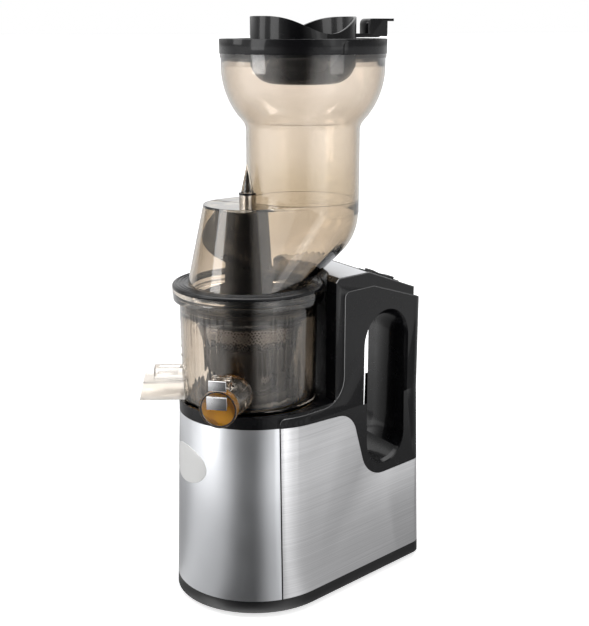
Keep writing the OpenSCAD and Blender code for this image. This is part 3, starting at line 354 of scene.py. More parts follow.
@dataclass
class Groups:
    """The node groups that the finishes share.

    Attributes:
        moulded: grain, waves and marks of handling.
        brushed: brush lines.
        holes: rows of small holes.
        heights: the share of the way up.
    """

    moulded: bpy.types.NodeTree = field(default_factory=moulded_group)
    brushed: bpy.types.NodeTree = field(default_factory=brushed_group)
    holes: bpy.types.NodeTree = field(default_factory=holes_group)
    heights: bpy.types.NodeTree = field(default_factory=height_group)


@dataclass(frozen=True)
class Finish:
    """One material of the juicer.

    Attributes:
        name: the material's name.
        slot: the record's material slot.
        colour: base colour, linear.
        rough: roughness at the cleanest place.
        metal: metallic share.
        surface: how the surface was made.
        grain: depth of the fine grain, in metres.
        grain_scale: how fine the grain is.
        vary: how much the colour varies.
        smudge: how much marks of handling add to the roughness.
        clear: transmission weight.
        ior: index of refraction.
        coat: coat weight.
        coat_rough: roughness of the coat.
        sheen: anisotropy of brushed metal.
        gleam: specular level, 0.5 for the plain Fresnel of the index.
        deep: colour of a clear piece where it is seen edge on, or None.
        deep_power: how late the deep colour comes on towards the edge.
        painted_shade_by_height: colours of a clear piece by height in metres, painted shade that darkens it
            where more walls lie behind each other.
    """

    name: str
    slot: str
    colour: Colour
    rough: float = 0.4
    metal: float = 0.0
    surface: Surface = Surface.MOULDED
    grain: float = 0.00001
    grain_scale: float = 1800.0
    vary: float = 0.08
    smudge: float = 0.06
    clear: float = 0.0
    ior: float = 1.49
    coat: float = 0.0
    coat_rough: float = 0.05
    sheen: float = 0.0
    gleam: float = 0.5
    deep: Colour | None = None
    deep_power: float = 1.6
    painted_shade_by_height: tuple[tuple[float, Colour], ...] = ()

    def build(self, groups: Groups) -> bpy.types.Material:
        """Make the material.

        Args:
            groups: the shared node groups.

        Returns:
            The finished material.
        """
        made = bpy.data.materials.new(self.name)
        made.use_nodes = True
        tool = Tool(made.node_tree)
        shader = made.node_tree.nodes["Principled BSDF"]
        for key, value in (("IOR", self.ior), ("Metallic", self.metal), ("Transmission Weight", self.clear),
                           ("Coat Weight", self.coat), ("Coat Roughness", self.coat_rough),
                           ("Anisotropic", self.sheen), ("Anisotropic Rotation", QUARTER_TURN),
                           ("Specular IOR Level", self.gleam)):
            shader.inputs[key].default_value = value
        base = tool.node("ShaderNodeGroup", node_tree=groups.moulded)
        base.inputs["Grain Scale"].default_value = self.grain_scale
        height, tone, wear = base.outputs["Grain"], base.outputs["Wave"], base.outputs["Smudge"]
        if self.surface is Surface.BRUSHED:
            lines = tool.node("ShaderNodeGroup", node_tree=groups.brushed)
            height, tone = lines.outputs["Line"], lines.outputs["Streak"]
        tool.link(self.colours(tool, tone, groups.heights), shader.inputs["Base Color"])
        rough = tool.remap(wear, (0.0, 1.0), (self.rough, self.rough + self.smudge))
        tool.link(rough, shader.inputs["Roughness"])
        bump = tool.node("ShaderNodeBump")
        bump.inputs["Strength"].default_value = 1.0
        bump.inputs["Distance"].default_value = self.grain
        tool.link(height, bump.inputs["Height"])
        tool.link(bump.outputs[0], shader.inputs["Normal"])
        if self.surface is Surface.PERFORATED:
            rows = tool.node("ShaderNodeGroup", node_tree=groups.holes)
            tool.link(rows.outputs["Metal"], shader.inputs["Alpha"])
        made.diffuse_color = (*self.colour, 1.0)
        return made

    def colours(self, tool: Tool, tone: Socket, heights: bpy.types.NodeTree) -> Socket:
        """Vary the base colour by tone, or by height as painted shade where more walls lie behind each other.

        Args:
            tool: the material's tool.
            tone: the value that picks the shade.
            heights: the group that gives the share of the way up.

        Returns:
            The colour.
        """
        if self.painted_shade_by_height:
            shown = self.painted_shade_colour(tool, heights)
        else:
            ramp = tool.node("ShaderNodeValToRGB")
            shades = ((0.3, 1 - self.vary), (0.7, 1 + self.vary))
            for stop, (place, shade) in zip(ramp.color_ramp.elements, shades):
                stop.position = place
                stop.color = (*(min(1.0, c * shade) for c in self.colour), 1.0)
            tool.link(tone, ramp.inputs[0])
            shown = ramp.outputs[0]
        return shown if self.deep is None else self.deepened(tool, shown)

    def painted_shade_colour(self, tool: Tool, heights: bpy.types.NodeTree) -> Socket:
        """Colour a clear piece by height, a painted shade that is darker where more walls lie behind each
        other.

        Args:
            tool: the material's tool.
            heights: the group that gives the share of the way up.

        Returns:
            The colour.
        """
        low, high = self.painted_shade_by_height[0][0], self.painted_shade_by_height[-1][0]
        lift = tool.node("ShaderNodeGroup", node_tree=heights)
        lift.inputs["Low"].default_value, lift.inputs["High"].default_value = low, high
        ramp = tool.node("ShaderNodeValToRGB")
        stops = ramp.color_ramp.elements
        for z, _ in self.painted_shade_by_height[1:-1]:
            stops.new((z - low) / (high - low))
        for stop, (z, colour) in zip(stops, self.painted_shade_by_height):
            stop.position = (z - low) / (high - low)
            stop.color = (*colour, 1.0)
        tool.link(lift.outputs["Share"], ramp.inputs[0])
        return ramp.outputs[0]

    def deepened(self, tool: Tool, shown: Socket) -> Socket:
        """Deepen a clear piece's colour where its wall is seen edge on.

        Args:
            tool: the material's tool.
            shown: the colour where it is seen straight.

        Returns:
            The colour.
        """
        edge = tool.node("ShaderNodeLayerWeight")
        edge.inputs["Blend"].default_value = 0.5
        mix = tool.node("ShaderNodeMix", data_type="RGBA")
        colours = {socket.identifier: socket for socket in mix.inputs}
        tool.link(shown, colours["A_Color"])
        colours["B_Color"].default_value = (*self.deep, 1.0)
        tool.link(tool.math("POWER", edge.outputs["Facing"], self.deep_power), mix.inputs[0])
        return next(o for o in mix.outputs if o.identifier == "Result_Color")


# The smoke plastic's colour by height in metres, darker as painted shade where more walls lie behind each
# other.
SMOKE_PAINTED_SHADE = ((0.17, (0.83, 0.77, 0.7)), (0.19, (0.81, 0.75, 0.68)), (0.205, (0.72, 0.655, 0.58)),
         (0.262, (0.7, 0.63, 0.55)), (0.3, (0.61, 0.53, 0.43)),
         (0.335, (0.68, 0.605, 0.5)), (0.36, (0.745, 0.675, 0.59)), (0.41, (0.795, 0.728, 0.657)))

FINISHES = (
    Finish("foot_rubber", "rubber", (0.012, 0.012, 0.012), 0.75, grain=0.00004, gleam=0.3),
    Finish("plinth_black", "black_matte", (0.004, 0.004, 0.0045), 0.36, grain=0.00002, gleam=0.36),
    Finish("polished_black", "black_gloss", (0.006, 0.006, 0.007), 0.24, coat=0.24, vary=0.15, grain=0.000002,
           gleam=0.1),
    Finish("silver_lacquer", "silver_paint", (0.56, 0.57, 0.59), 0.3, 0.9, grain=0.0000012,
           grain_scale=4200.0, vary=0.03, coat=0.2, smudge=0.04),
    Finish("brushed_side", "brushed_steel", (0.6, 0.6, 0.61), 0.33, 1.0, Surface.BRUSHED, grain=0.000008,
           vary=0.13, sheen=0.5, smudge=0.05),
    Finish("cast_zinc", "zinc_plate", (0.42, 0.43, 0.44), 0.45, 0.9, grain=0.00003),
    Finish("lacquered_copper", "windings", (0.5, 0.22, 0.1), 0.3, 0.7),
    Finish("ground_steel", "steel", (0.6, 0.6, 0.61), 0.22, 1.0, grain=0.000004),
    Finish("sintered_bronze", "bronze", (0.5, 0.33, 0.16), 0.45, 1.0, grain=0.00002),
    Finish("fan_nylon", "white_plastic", (0.88, 0.88, 0.87), 0.3, coat=0.3, vary=0.03),
    Finish("gear_acetal", "gear_plastic", (0.66, 0.58, 0.4), 0.42),
    Finish("board_green", "board", (0.02, 0.16, 0.07), 0.35),
    Finish("can_aluminium", "capacitor", (0.6, 0.6, 0.62), 0.3, 1.0),
    Finish("switch_black", "switch_plastic", (0.012, 0.012, 0.013), 0.35, grain=0.00001, gleam=0.35),
    # The smoke plastic's colour by height is painted shade.
    Finish("smoke_plastic", "smoke_clear", (0.79, 0.73, 0.66), 0.02, clear=1.0, grain=0.0000005,
           smudge=0.03, ior=1.46, gleam=0.17, coat=0.4, coat_rough=0.2, deep=(0.36, 0.29, 0.2),
           painted_shade_by_height=SMOKE_PAINTED_SHADE),
    Finish("amber_seal", "amber_silicone", (0.88, 0.42, 0.006), 0.25, coat=0.3),
    Finish("grey_seal", "grey_silicone", (0.1, 0.1, 0.1), 0.5),
    Finish("cage_charcoal", "charcoal_plastic", (0.016, 0.012, 0.01), 0.3, gleam=0.35),
    Finish("strainer_steel", "mesh_steel", (0.3, 0.28, 0.27), 0.35, 0.9, Surface.PERFORATED),
    Finish("auger_black", "auger_plastic", (0.004, 0.0035, 0.0035), 0.22, gleam=0.2),
)

PULP_SPOUT = Finish("frosted_smoke", "smoke_clear", (0.93, 0.885, 0.83), 0.3, clear=1.0, grain=0.000002,
                    vary=0.02, smudge=0.05, ior=1.3, gleam=0.3)

# Painted highlight: the edge beads are ten times lighter than the black plastic and fully glossy, so the
# outlines show bright lines.
EDGE = Finish("polished_edge", "black_gloss", (0.06, 0.06, 0.062), 0.2, coat=1.0, grain=0.000002, gleam=1.0)


class Looks:
    """The finished materials: one for each of the record's slots, the edge beads' painted highlight and the
    pulp spout's.
    """

    def __init__(self) -> None:
        """Build the node groups and then every finish."""
        groups = Groups()
        self.by_slot = {f.slot: f.build(groups) for f in FINISHES}
        self.edge = EDGE.build(groups)
        self.frosted = PULP_SPOUT.build(groups)

    def dress(self, thing: bpy.types.Object, slot: str) -> None:
        """Give an object its finish, and the faces of an edge bead the lighter, glossier one that paints a
        highlight line.

        Args:
            thing: the object.
            slot: the record's material slot.
        """
        if thing.data.materials:
            thing.data.materials.clear()
        thing.data.materials.append(self.by_slot[slot])
        if any(face.material_index == 1 for face in thing.data.polygons):
            thing.data.materials.append(self.edge)


# ---------------------------------------------------------------------------
# Measures and names from the frame


def middle_of(node: str) -> Vector:
    """Return the middle of a CAD node's box."""
    low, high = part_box(node)
    return (Vector(low) + Vector(high)) / 2


def from_axis(place: Vector) -> Vector:
    """Return the level direction from the auger's axis to a place, with its length."""
    return Vector((place.x - AXIS.x, place.y - AXIS.y, 0))


def reach(node: str, z: float, spread: float) -> float:
    """Measure how far a node reaches from the auger's axis near a height.

    Args:
        node: the CAD node.
        z: the height, in metres.
        spread: how far above and below the height to look, in metres.

    Returns:
        The distance, in metres.
    """
    verts = [v.co for v in frame["nodes"][node].data.vertices if abs(v.co.z - z) < spread]
    return max((v.xy - AXIS.xy).length for v in verts)


def slot_of(node: str) -> str:
    """Return the record's material slot of a node."""
    return next(s["material_slot"] for s in frame["record"]["subparts"] if s["node"] == node)


def body_of(node: str) -> str:
    """Return the body that a node belongs to."""
    return next(b for b, nodes in frame["record"]["behaviour"]["bodies"].items() if node in nodes)


# ---------------------------------------------------------------------------
# Mesh helpers


def to_object(name: str, bm: bmesh.types.BMesh, smooth: float = SMOOTH) -> bpy.types.Object:
    """Turn a bmesh into an object that sits at the origin.

    Args:
        name: the object's name.
        bm: the mesh, in the row's frame.
        smooth: angle in degrees below which faces meet smoothly.

    Returns:
        The new object.
    """
    mesh = bpy.data.meshes.new(name)
    bm.to_mesh(mesh)
    bm.free()
    made = bpy.data.objects.new(name, mesh)
    bpy.context.scene.collection.objects.link(made)
    mesh.shade_smooth()
    mesh.set_sharp_from_angle(angle=math.radians(smooth))
    return made


def copy_of(node: str) -> bmesh.types.BMesh:
    """Copy a CAD node's mesh, with its corners merged and its flat faces whole.

    Args:
        node: the CAD node.

    Returns:
        The copy.
    """
    bm = bmesh.new()
    bm.from_mesh(frame["nodes"][node].data)
    bmesh.ops.remove_doubles(bm, verts=bm.verts, dist=2 * MERGE)
    bmesh.ops.dissolve_limit(bm, angle_limit=math.radians(FLAT), use_dissolve_boundaries=False,
                             verts=bm.verts, edges=bm.edges, delimit={"NORMAL"})
    return bm


def sharp_edges(bm: bmesh.types.BMesh) -> list[bmesh.types.BMEdge]:
    """Return the edges where two faces meet at more than the sharp angle."""
    limit = math.radians(SHARP)
    return [e for e in bm.edges if len(e.link_faces) == 2 and e.calc_face_angle() > limit]


def bounds_side(edge: bmesh.types.BMEdge, side: Side) -> bool:
    """Tell whether one face at an edge looks to a side and the other one doesn't."""
    out = sorted(side.value * f.normal.x for f in edge.link_faces)
    return out[1] > FACING and out[0] < TURNED


def turn(bm: bmesh.types.BMesh, angle: float, axis: str) -> None:
    """Turn a whole mesh about the origin.

    Args:
        bm: the mesh.
        angle: the angle, in radians.
        axis: the letter of the axis.
    """
    bmesh.ops.rotate(bm, cent=(0, 0, 0), matrix=Matrix.Rotation(angle, 3, axis), verts=bm.verts)


def move(bm: bmesh.types.BMesh, by: Vector | tuple[float, float, float]) -> None:
    """Move a whole mesh."""
    bmesh.ops.translate(bm, vec=by, verts=bm.verts)


def bevel(bm: bmesh.types.BMesh, edges: list[bmesh.types.BMEdge], width: float, segments: int) -> None:
    """Round a set of edges.

    Args:
        bm: the mesh.
        edges: the edges to round.
        width: width of the rounding, in metres.
        segments: faces across it.
    """
    bmesh.ops.bevel(bm, geom=edges, offset=width, offset_type="OFFSET", segments=segments,
                    profile=0.5, affect="EDGES", clamp_overlap=True, material=-1)


def block(size: tuple[float, float, float], width: float, segments: int) -> bmesh.types.BMesh:
    """Make a block with rounded edges round the origin.

    Args:
        size: its three measures, in metres.
        width: width of the rounding, in metres.
        segments: faces across it.

    Returns:
        The new mesh.
    """
    bm = bmesh.new()
    bmesh.ops.create_cube(bm, size=1.0)
    bmesh.ops.scale(bm, vec=size, verts=bm.verts)
    bevel(bm, bm.edges[:], width, segments)
    return bm


def thicken(bm: bmesh.types.BMesh, by: tuple[float, float, float]) -> list[bmesh.types.BMVert]:
    """Make a closed plate of a flat sheet.

    Args:
        bm: the sheet.
        by: the way from its near face to its far one, in metres.

    Returns:
        The corners of the far face.
    """
    made = bmesh.ops.extrude_face_region(bm, geom=bm.faces[:])
    far = [v for v in made["geom"] if isinstance(v, bmesh.types.BMVert)]
    bmesh.ops.translate(bm, vec=by, verts=far)
    bmesh.ops.recalc_face_normals(bm, faces=bm.faces)
    return far


def close(bm: bmesh.types.BMesh) -> None:
    """Merge doubled corners and turn every face outward."""
    bmesh.ops.remove_doubles(bm, verts=bm.verts, dist=MERGE)
    bmesh.ops.recalc_face_normals(bm, faces=bm.faces)


def spin(bm: bmesh.types.BMesh, middle: Vector, axis: Vector | tuple[float, float, float],
         steps: int) -> None:
    """Spin a closed section once round an axis into a closed ring.

    Args:
        bm: the mesh that holds the section and nothing else.
        middle: a place on the axis.
        axis: the axis's direction.
        steps: faces round the ring.
    """
    bmesh.ops.spin(bm, geom=bm.verts[:] + bm.edges[:], cent=middle, axis=axis, angle=2 * math.pi,
                   steps=steps, use_merge=True)
    close(bm)


def chains_of(edges: list[bmesh.types.BMEdge]) -> list[list[bmesh.types.BMVert]]:
    """Join edges end to end.

    Args:
        edges: the edges.

    Returns:
        The corners of each chain, in order.
    """
    left, chains = list(edges), []
    while left:
        chain = list(left.pop(0).verts)
        for end in (-1, 0):
            step = next((e for e in chain[end].link_edges if e in left), None)
            while step is not None:
                left.remove(step)
                chain.insert(len(chain) if end else 0, step.other_vert(chain[end]))
                step = next((e for e in chain[end].link_edges if e in left), None)
        chains.append(chain)
    return chains


def tube(path: list[Vector], radius: float) -> bmesh.types.BMesh:
    """Make a closed round bead along a path.

    Args:
        path: the places that it runs through.
        radius: its radius, in metres.

    Returns:
        The new mesh.
    """
    curve = bpy.data.curves.new("bead_path", "CURVE")
    curve.dimensions = "3D"
    curve.bevel_depth, curve.bevel_resolution, curve.use_fill_caps = radius, 2, True
    line = curve.splines.new("POLY")
    line.points.add(len(path) - 1)
    for point, place in zip(line.points, path):
        point.co = (*place, 1.0)
    holder = bpy.data.objects.new("bead_path", curve)
    bpy.context.scene.collection.objects.link(holder)
    mesh = bpy.data.meshes.new_from_object(holder.evaluated_get(bpy.context.evaluated_depsgraph_get()))
    bm = bmesh.new()
    bm.from_mesh(mesh)
    bpy.data.objects.remove(holder)
    bpy.data.meshes.remove(mesh)
    bpy.data.curves.remove(curve)
    close(bm)
    return bm


# ---------------------------------------------------------------------------
# Sub-assemblies


@dataclass
class Assembly:
    """A group of pieces that are made and dressed together.

    Attributes:
        looks: the materials.
        count: how many pieces have been reported.
    """

    looks: Looks
    count: int = field(default=0, init=False)

    def add(self, piece: bpy.types.Object, body: str, slot: str) -> bpy.types.Object:
        """Dress a piece, set it on its body and report it.

        Args:
            piece: the new object.
            body: the body it rides on.
            slot: the record's material slot.

        Returns:
            The same piece.
        """
        self.looks.dress(piece, slot)
        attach(piece, body)
        self.count += 1
        log.info("%s: %d faces", piece.name, len(piece.data.polygons))
        return piece

    def build(self) -> None:
        """Make and dress every piece, which each sub-assembly does in its own way."""
        raise NotImplementedError

    def stand_in(self, node: str, bm: bmesh.types.BMesh) -> bpy.types.Object:
        """Let a mesh stand for a CAD node.

        Args:
            node: the CAD node, which is hidden.
            bm: the mesh.

        Returns:
            The piece that stands for the node.
        """
        piece = self.add(to_object(f"{node}_piece", bm, SHARP), body_of(node), slot_of(node))
        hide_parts(node)
        return piece

    def soften(self, node: str, width: float = 0.0, segments: int = 2) -> bpy.types.Object:
        """Copy a node and round its sharp edges.

        Args:
            node: the CAD node.
            width: width of the rounding, in metres, or 0 for smooth shading alone.
            segments: faces across it.

        Returns:
            The piece that stands for the node.
        """
        bm = copy_of(node)
        if width > 0:
            bevel(bm, sharp_edges(bm), width, segments)
        return self.stand_in(node, bm)

    def keep(self, *nodes: str) -> None:
        """Keep CAD nodes as they are and give them their finish."""
        for node in nodes:
            self.looks.dress(frame["nodes"][node], slot_of(node))
            self.count += 1
            log.info("%s: kept", node)

    def hoop(self, name: str, profile: Profile, body: str, slot: str,
             at: tuple[float, float] = (0.0, 0.0)) -> bpy.types.Object:
        """Spin a closed section round the auger's axis.

        Args:
            name: the piece's name.
            profile: corners of the section as (radius, height), in millimetres.
            body: the body it rides on.
            slot: the record's material slot.
            at: radius and height that the corners are measured from, in millimetres.

        Returns:
            The new piece.
        """
        bm = bmesh.new()
        corners = [bm.verts.new((AXIS.x + (at[0] + r) * MM, AXIS.y, (at[1] + z) * MM)) for r, z in profile]
        for a, b in zip(corners, corners[1:] + corners[:1]):
            bm.edges.new((a, b))
        spin(bm, AXIS, (0, 0, 1), steps=128)
        return self.add(to_object(name, bm), body, slot)

    def highlight_bead(self, name: str, node: str, side: Side, low: float, radius: float) -> bpy.types.Object:
        """Run a fine bead along the longest sharp outline on a node's outer side, as a painted highlight
        line.

        Args:
            name: the piece's name.
            node: the CAD node.
            side: the side that is followed.
            low: the outline's lowest height that is followed, in metres.
            radius: the bead's radius, in metres.

        Returns:
            The new piece.
        """
        bm = copy_of(node)
        bmesh.ops.remove_doubles(bm, verts=bm.verts, dist=0.05 * MM)
        outline = [e for e in sharp_edges(bm) if bounds_side(e, side) and min(v.co.z for v in e.verts) > low]
        inward = Vector((side.value * radius * SUNK, 0, 0))
        paths = [[v.co - inward for v in chain] for chain in chains_of(outline)]
        bm.free()
        longest = max(paths, key=lambda path: sum((b - a).length for a, b in zip(path, path[1:])))
        made = tube(longest, radius)
        # The whole bead takes the painted highlight finish.
        for face in made.faces:
            face.material_index = 1
        return self.add(to_object(name, made), body_of(node), slot_of(node))


@dataclass
class Base(Assembly):
    """Feet, plinth, panels and what they enclose.

    Attributes:
        foot_round: rounding of the feet's edges.
        plinth_round: rounding of the plinth's edges.
        panel_round: rounding of the front and side panels' edges.
        rear_round: rounding of the rear panel's edges.
        badge_half: half the bare badge's width and height.
        badge_drop: how far its middle lies below the front panel's top.
        badge_thick: its thickness.
        badge_round: rounding of its rim.
        badge_strip: width of the strips that let it follow the panel's curve.
        badge_sunk: how far its back lies in the panel.
        bead: radius of the seam beads.
        bead_short: how much shorter a bead is than its seam.
        bead_sunk: how far its middle lies in the seam.
    """

    foot_round: float = 0.8 * MM
    plinth_round: float = 0.7 * MM
    panel_round: float = 0.3 * MM
    rear_round: float = 0.2 * MM
    badge_half: tuple[float, float] = (26.5 * MM, 15.5 * MM)
    badge_drop: float = 38 * MM
    badge_thick: float = 0.8 * MM
    badge_round: float = 0.5 * MM
    badge_strip: float = 2.1 * MM
    badge_sunk: float = 0.1 * MM
    bead: float = 0.95 * MM
    bead_short: float = 3 * MM
    bead_sunk: float = 0.3 * MM

    def panel_corners(self, z: float) -> list[Vector]:
        """Return the front panel's corners near a height."""
        return [v.co for v in frame["nodes"]["front_panel"].data.vertices if abs(v.co.z - z) < 1 * MM]

    def badge(self) -> None:
        """Lay the bare oval plate on the front panel."""
        low, high = (corner[2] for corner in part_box("front_panel"))
        foot, head = (max(AXIS.y - c.y for c in self.panel_corners(z)) for z in (low, high))
        wide, tall = self.badge_half
        bm = bmesh.new()
        bmesh.ops.create_circle(bm, cap_ends=True, cap_tris=False, segments=96, radius=1.0)
        turn(bm, math.pi / 2, "X")
        bmesh.ops.scale(bm, vec=(wide, 1, tall), verts=bm.verts)
        outer = thicken(bm, (0, -self.badge_thick, 0))
        bevel(bm, [e for e in bm.edges if all(v in outer for v in e.verts)], self.badge_round, segments=3)
        strips = int(wide / self.badge_strip)
        for k in range(-strips, strips + 1):
            bmesh.ops.bisect_plane(bm, geom=bm.verts[:] + bm.edges[:] + bm.faces[:],
                                   plane_co=(self.badge_strip * k, 0, 0), plane_no=(1, 0, 0))
        for v in bm.verts:
            z = v.co.z + high - self.badge_drop
            skin = foot + (head - foot) * (z - low) / (high - low)
            angle, out = v.co.x / skin, skin - v.co.y - self.badge_sunk
            v.co = AXIS + Vector((math.sin(angle) * out, -math.cos(angle) * out, z))
        self.add(to_object("badge_plate", bm), "base", "white_plastic")

    def seams(self) -> None:
        """Lay a black bead over the joint between the front panel and each side panel."""
        heights = [corner[2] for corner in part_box("front_panel")]
        for side in Side:
            foot, head = (max(self.panel_corners(z), key=lambda c: (c.y, side.value * c.x)) for z in heights)
            bm = bmesh.new()
            bmesh.ops.create_cone(bm, cap_ends=True, segments=16, radius1=self.bead, radius2=self.bead,
                                  depth=(head - foot).length - self.bead_short)
            tilt = (head - foot).to_track_quat("Z", "Y").to_matrix()
            bmesh.ops.rotate(bm, cent=(0, 0, 0), matrix=tilt, verts=bm.verts)
            move(bm, (foot + head) / 2 - from_axis(foot).normalized() * self.bead_sunk)
            self.add(to_object(f"seam_bead_{side.name.lower()}", bm), "base", "black_gloss")

    def build(self) -> None:
        """Make and dress the base."""
        self.badge()
        self.seams()
        self.soften("rubber_feet", self.foot_round, segments=3)
        self.soften("base_plate", self.plinth_round)
        self.keep("base_shell", "cord_gland")
        for node in ("front_panel", "side_panel_right", "side_panel_left"):
            self.soften(node, self.panel_round)
        self.soften("rear_panel", self.rear_round)


@dataclass
class Drive(Assembly):
    """Motor, gearbox and electrics."""

    def build(self) -> None:
        """Dress the drive."""
        self.keep("motor_can", "stator", "motor_rotor", "motor_fan", "motor_bushes", "gearbox_case",
                  "gearbox_cover", "layshaft_pin", "cluster_gear", "output_gear", "output_bush",
                  "frame_screws", "control_board", "capacitor")


@dataclass
class Column(Assembly):
    """Collar, column, handle covers and switch.

    Attributes:
        plate_inset: how far the top plate stays inside the column's flat top.
        plate_thick: its thickness.
        line: radius of the beads that paint highlight lines along the edges.
        cover_line_foot: how far above the side panels the handle covers' lines start.
        column_line_foot: how far above them the column's lines start.
        bezel_round: rounding of the switch bezel's edges.
        rocker_round: rounding of the rocker's edges.
    """

    plate_inset: float = 1.4 * MM
    plate_thick: float = 0.35 * MM
    line: float = 0.5 * MM
    cover_line_foot: float = 2 * MM
    column_line_foot: float = 12 * MM
    bezel_round: float = 0.3 * MM
    rocker_round: float = 0.25 * MM

    def crown(self) -> None:
        """Lay the bare silver plate on the column's flat top."""
        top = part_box("upper_housing")[1][2]
        bm = copy_of("upper_housing")
        level, near = 0.999, 0.1 * MM
        rest = [f for f in bm.faces if f.normal.z < level or abs(f.calc_center_median().z - top) > near]
        bmesh.ops.delete(bm, geom=rest, context="FACES")
        rim = bmesh.ops.inset_region(bm, faces=bm.faces[:], thickness=self.plate_inset, use_boundary=True,
                                     use_even_offset=True)["faces"]
        bmesh.ops.delete(bm, geom=rim, context="FACES")
        thicken(bm, (0, 0, self.plate_thick))
        self.add(to_object("top_plate", bm), "base", "silver_paint")

    def build(self) -> None:
        """Make and dress the column."""
        for node in ("upper_housing", "handle_cover_right", "handle_cover_left"):
            self.soften(node)
        self.crown()
        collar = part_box("side_panel_right")[1][2]
        # Beads along the outlines of the covers and the column paint highlight lines there.
        for side in Side:
            name = side.name.lower()
            self.highlight_bead(f"cover_line_{name}", f"handle_cover_{name}", side, collar + self.cover_line_foot,
                           self.line)
            self.highlight_bead(f"column_line_{name}", "upper_housing", side, collar + self.column_line_foot,
                           self.line)
        self.soften("switch_bezel", self.bezel_round)
        self.soften("rocker_switch", self.rocker_round)


@dataclass
class Bowl(Assembly):
    """Clear bowl with its spouts, cap and gears.

    Attributes:
        wall: radius of the bowl's outer wall, measured from its node.
        round_off: rounding of the bowl's, spouts' and cap's edges.
        spout_foot: how far out from the wall a spout's foot reaches.
        spout_gap: how far the foot is drawn off the wall.
        spout_plain: how far out from the wall a spout's edges stay sharp.
        clip_seat: how far out from the cap's hinge pin the clip lies.
        clip_plates: name, measures, and place out from the seat and above the pin of each plate.
        clip_round: rounding of a plate's edges, as a share of its thickness.
        rim: radius of the dark bead round the cap's face.
        rim_wide: how far outside the seal the bead runs.
        rim_sunk: how far its middle lies behind the cap's face.
        marks: how many measuring marks there are.
        mark_lengths: length of the long and the short marks.
        mark_section: thickness and height of a mark.
        mark_round: rounding of its edges.
        mark_first: height of the lowest mark above the bowl's foot.
        mark_pitch: distance between marks.
        mark_out: how far a mark's middle lies out from the wall.
        mark_azimuth: their direction from the front, in degrees.
    """

    wall: float = field(default=0.0, init=False)
    round_off: float = 0.4 * MM
    spout_foot: float = 1.5 * MM
    spout_gap: float = 0.12 * MM
    spout_plain: float = 2 * MM
    clip_seat: float = 11.5 * MM
    clip_plates: tuple[tuple[str, tuple[float, float, float], tuple[float, float]], ...] = (
        ("cap_clip_face", (0.6 * MM, 15.4 * MM, 9.4 * MM), (3.1 * MM, -13.5 * MM)),
        ("cap_clip_top", (3.2 * MM, 15.4 * MM, 0.8 * MM), (1.6 * MM, -8.6 * MM)),
        ("cap_clip_arm", (1.2 * MM, 13.6 * MM, 7.8 * MM), (0.6 * MM, -0.6 * MM)))
    clip_round: float = 0.3
    rim: float = 0.55 * MM
    rim_wide: float = 0.6 * MM
    rim_sunk: float = 0.4 * MM
    marks: int = 6
    mark_lengths: tuple[float, float] = (7 * MM, 4 * MM)
    mark_section: tuple[float, float] = (0.5 * MM, 0.7 * MM)
    mark_round: float = 0.12 * MM
    mark_first: float = 40 * MM
    mark_pitch: float = 7.5 * MM
    mark_out: float = 0.32 * MM
    mark_azimuth: float = -22.0

    def __post_init__(self) -> None:
        """Measure the bowl's outer wall in its lower half."""
        middle = middle_of("juice_bowl").z
        verts = [v.co for v in frame["nodes"]["juice_bowl"].data.vertices if v.co.z < middle]
        self.wall = max(from_axis(c).length for c in verts)

    def spout(self, node: str) -> bpy.types.Object:
        """Round a spout and draw its foot a hair off the bowl's wall.

        Args:
            node: the spout's CAD node.

        Returns:
            The piece that stands for the spout.
        """
        bm = copy_of(node)
        for v in bm.verts:
            out = from_axis(v.co)
            if out.length < self.wall + self.spout_foot:
                v.co += out.normalized() * self.spout_gap
        outer = [e for e in sharp_edges(bm)
                 if min(from_axis(v.co).length for v in e.verts) > self.wall + self.spout_plain]
        bevel(bm, outer, self.round_off, segments=2)
        return self.stand_in(node, bm)

    def clip(self) -> None:
        """Lay the bright clip over the cap's tab and hinge arm."""
        pin = middle_of("cap_pin")
        out = from_axis(pin)
        for name, size, (ahead, up) in self.clip_plates:
            bm = block(size, min(size) * self.clip_round, segments=3)
            move(bm, (out.length + self.clip_seat + ahead, 0, pin.z + up))
            turn(bm, math.atan2(out.y, out.x), "Z")
            move(bm, AXIS)
            self.add(to_object(name, bm), "cap", "steel")

    def seal_rim(self) -> None:
        """Run a dark bead round the juice cap's face."""
        low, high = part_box("cap_seal")
        middle, radius = middle_of("cap_seal"), (high[2] - low[2]) / 2 + self.rim_wide
        out = from_axis(middle).normalized()
        cap = [v.co for v in frame["nodes"]["juice_cap"].data.vertices if v.co.z < middle.z]
        middle += out * (max((c - middle).dot(out) for c in cap) - self.rim_sunk)
        bm = bmesh.new()
        bmesh.ops.create_circle(bm, segments=10, radius=self.rim)
        turn(bm, math.pi / 2, "X")
        turn(bm, math.atan2(out.y, out.x), "Z")
        move(bm, middle + Vector((0, 0, radius)))
        spin(bm, middle, out, steps=72)
        self.add(to_object("cap_rim", bm), "cap", "charcoal_plastic")

    def ticks(self) -> None:
        """Raise a row of short measuring marks on the bowl's left, every other one long."""
        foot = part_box("juice_bowl")[0][2]
        for k in range(self.marks):
            bm = block((self.mark_lengths[k % 2], *self.mark_section), self.mark_round, segments=2)
            move(bm, (0, -(self.wall + self.mark_out), foot + self.mark_first + self.mark_pitch * k))
            turn(bm, math.radians(self.mark_azimuth), "Z")
            move(bm, AXIS)
            self.add(to_object(f"level_mark_{k + 1}", bm), "bowl", "smoke_clear")

    def build(self) -> None:
        """Make and dress the bowl."""
        self.soften("juice_bowl", self.round_off)
        self.spout("juice_spout")
        self.spout("pulp_spout").data.materials[0] = self.looks.frosted
        self.keep("bowl_seal", "idler_pin", "idler_gear", "cap_pin", "cap_seal")
        self.soften("juice_cap", self.round_off)
        self.clip()
        self.seal_rim()
        self.ticks()


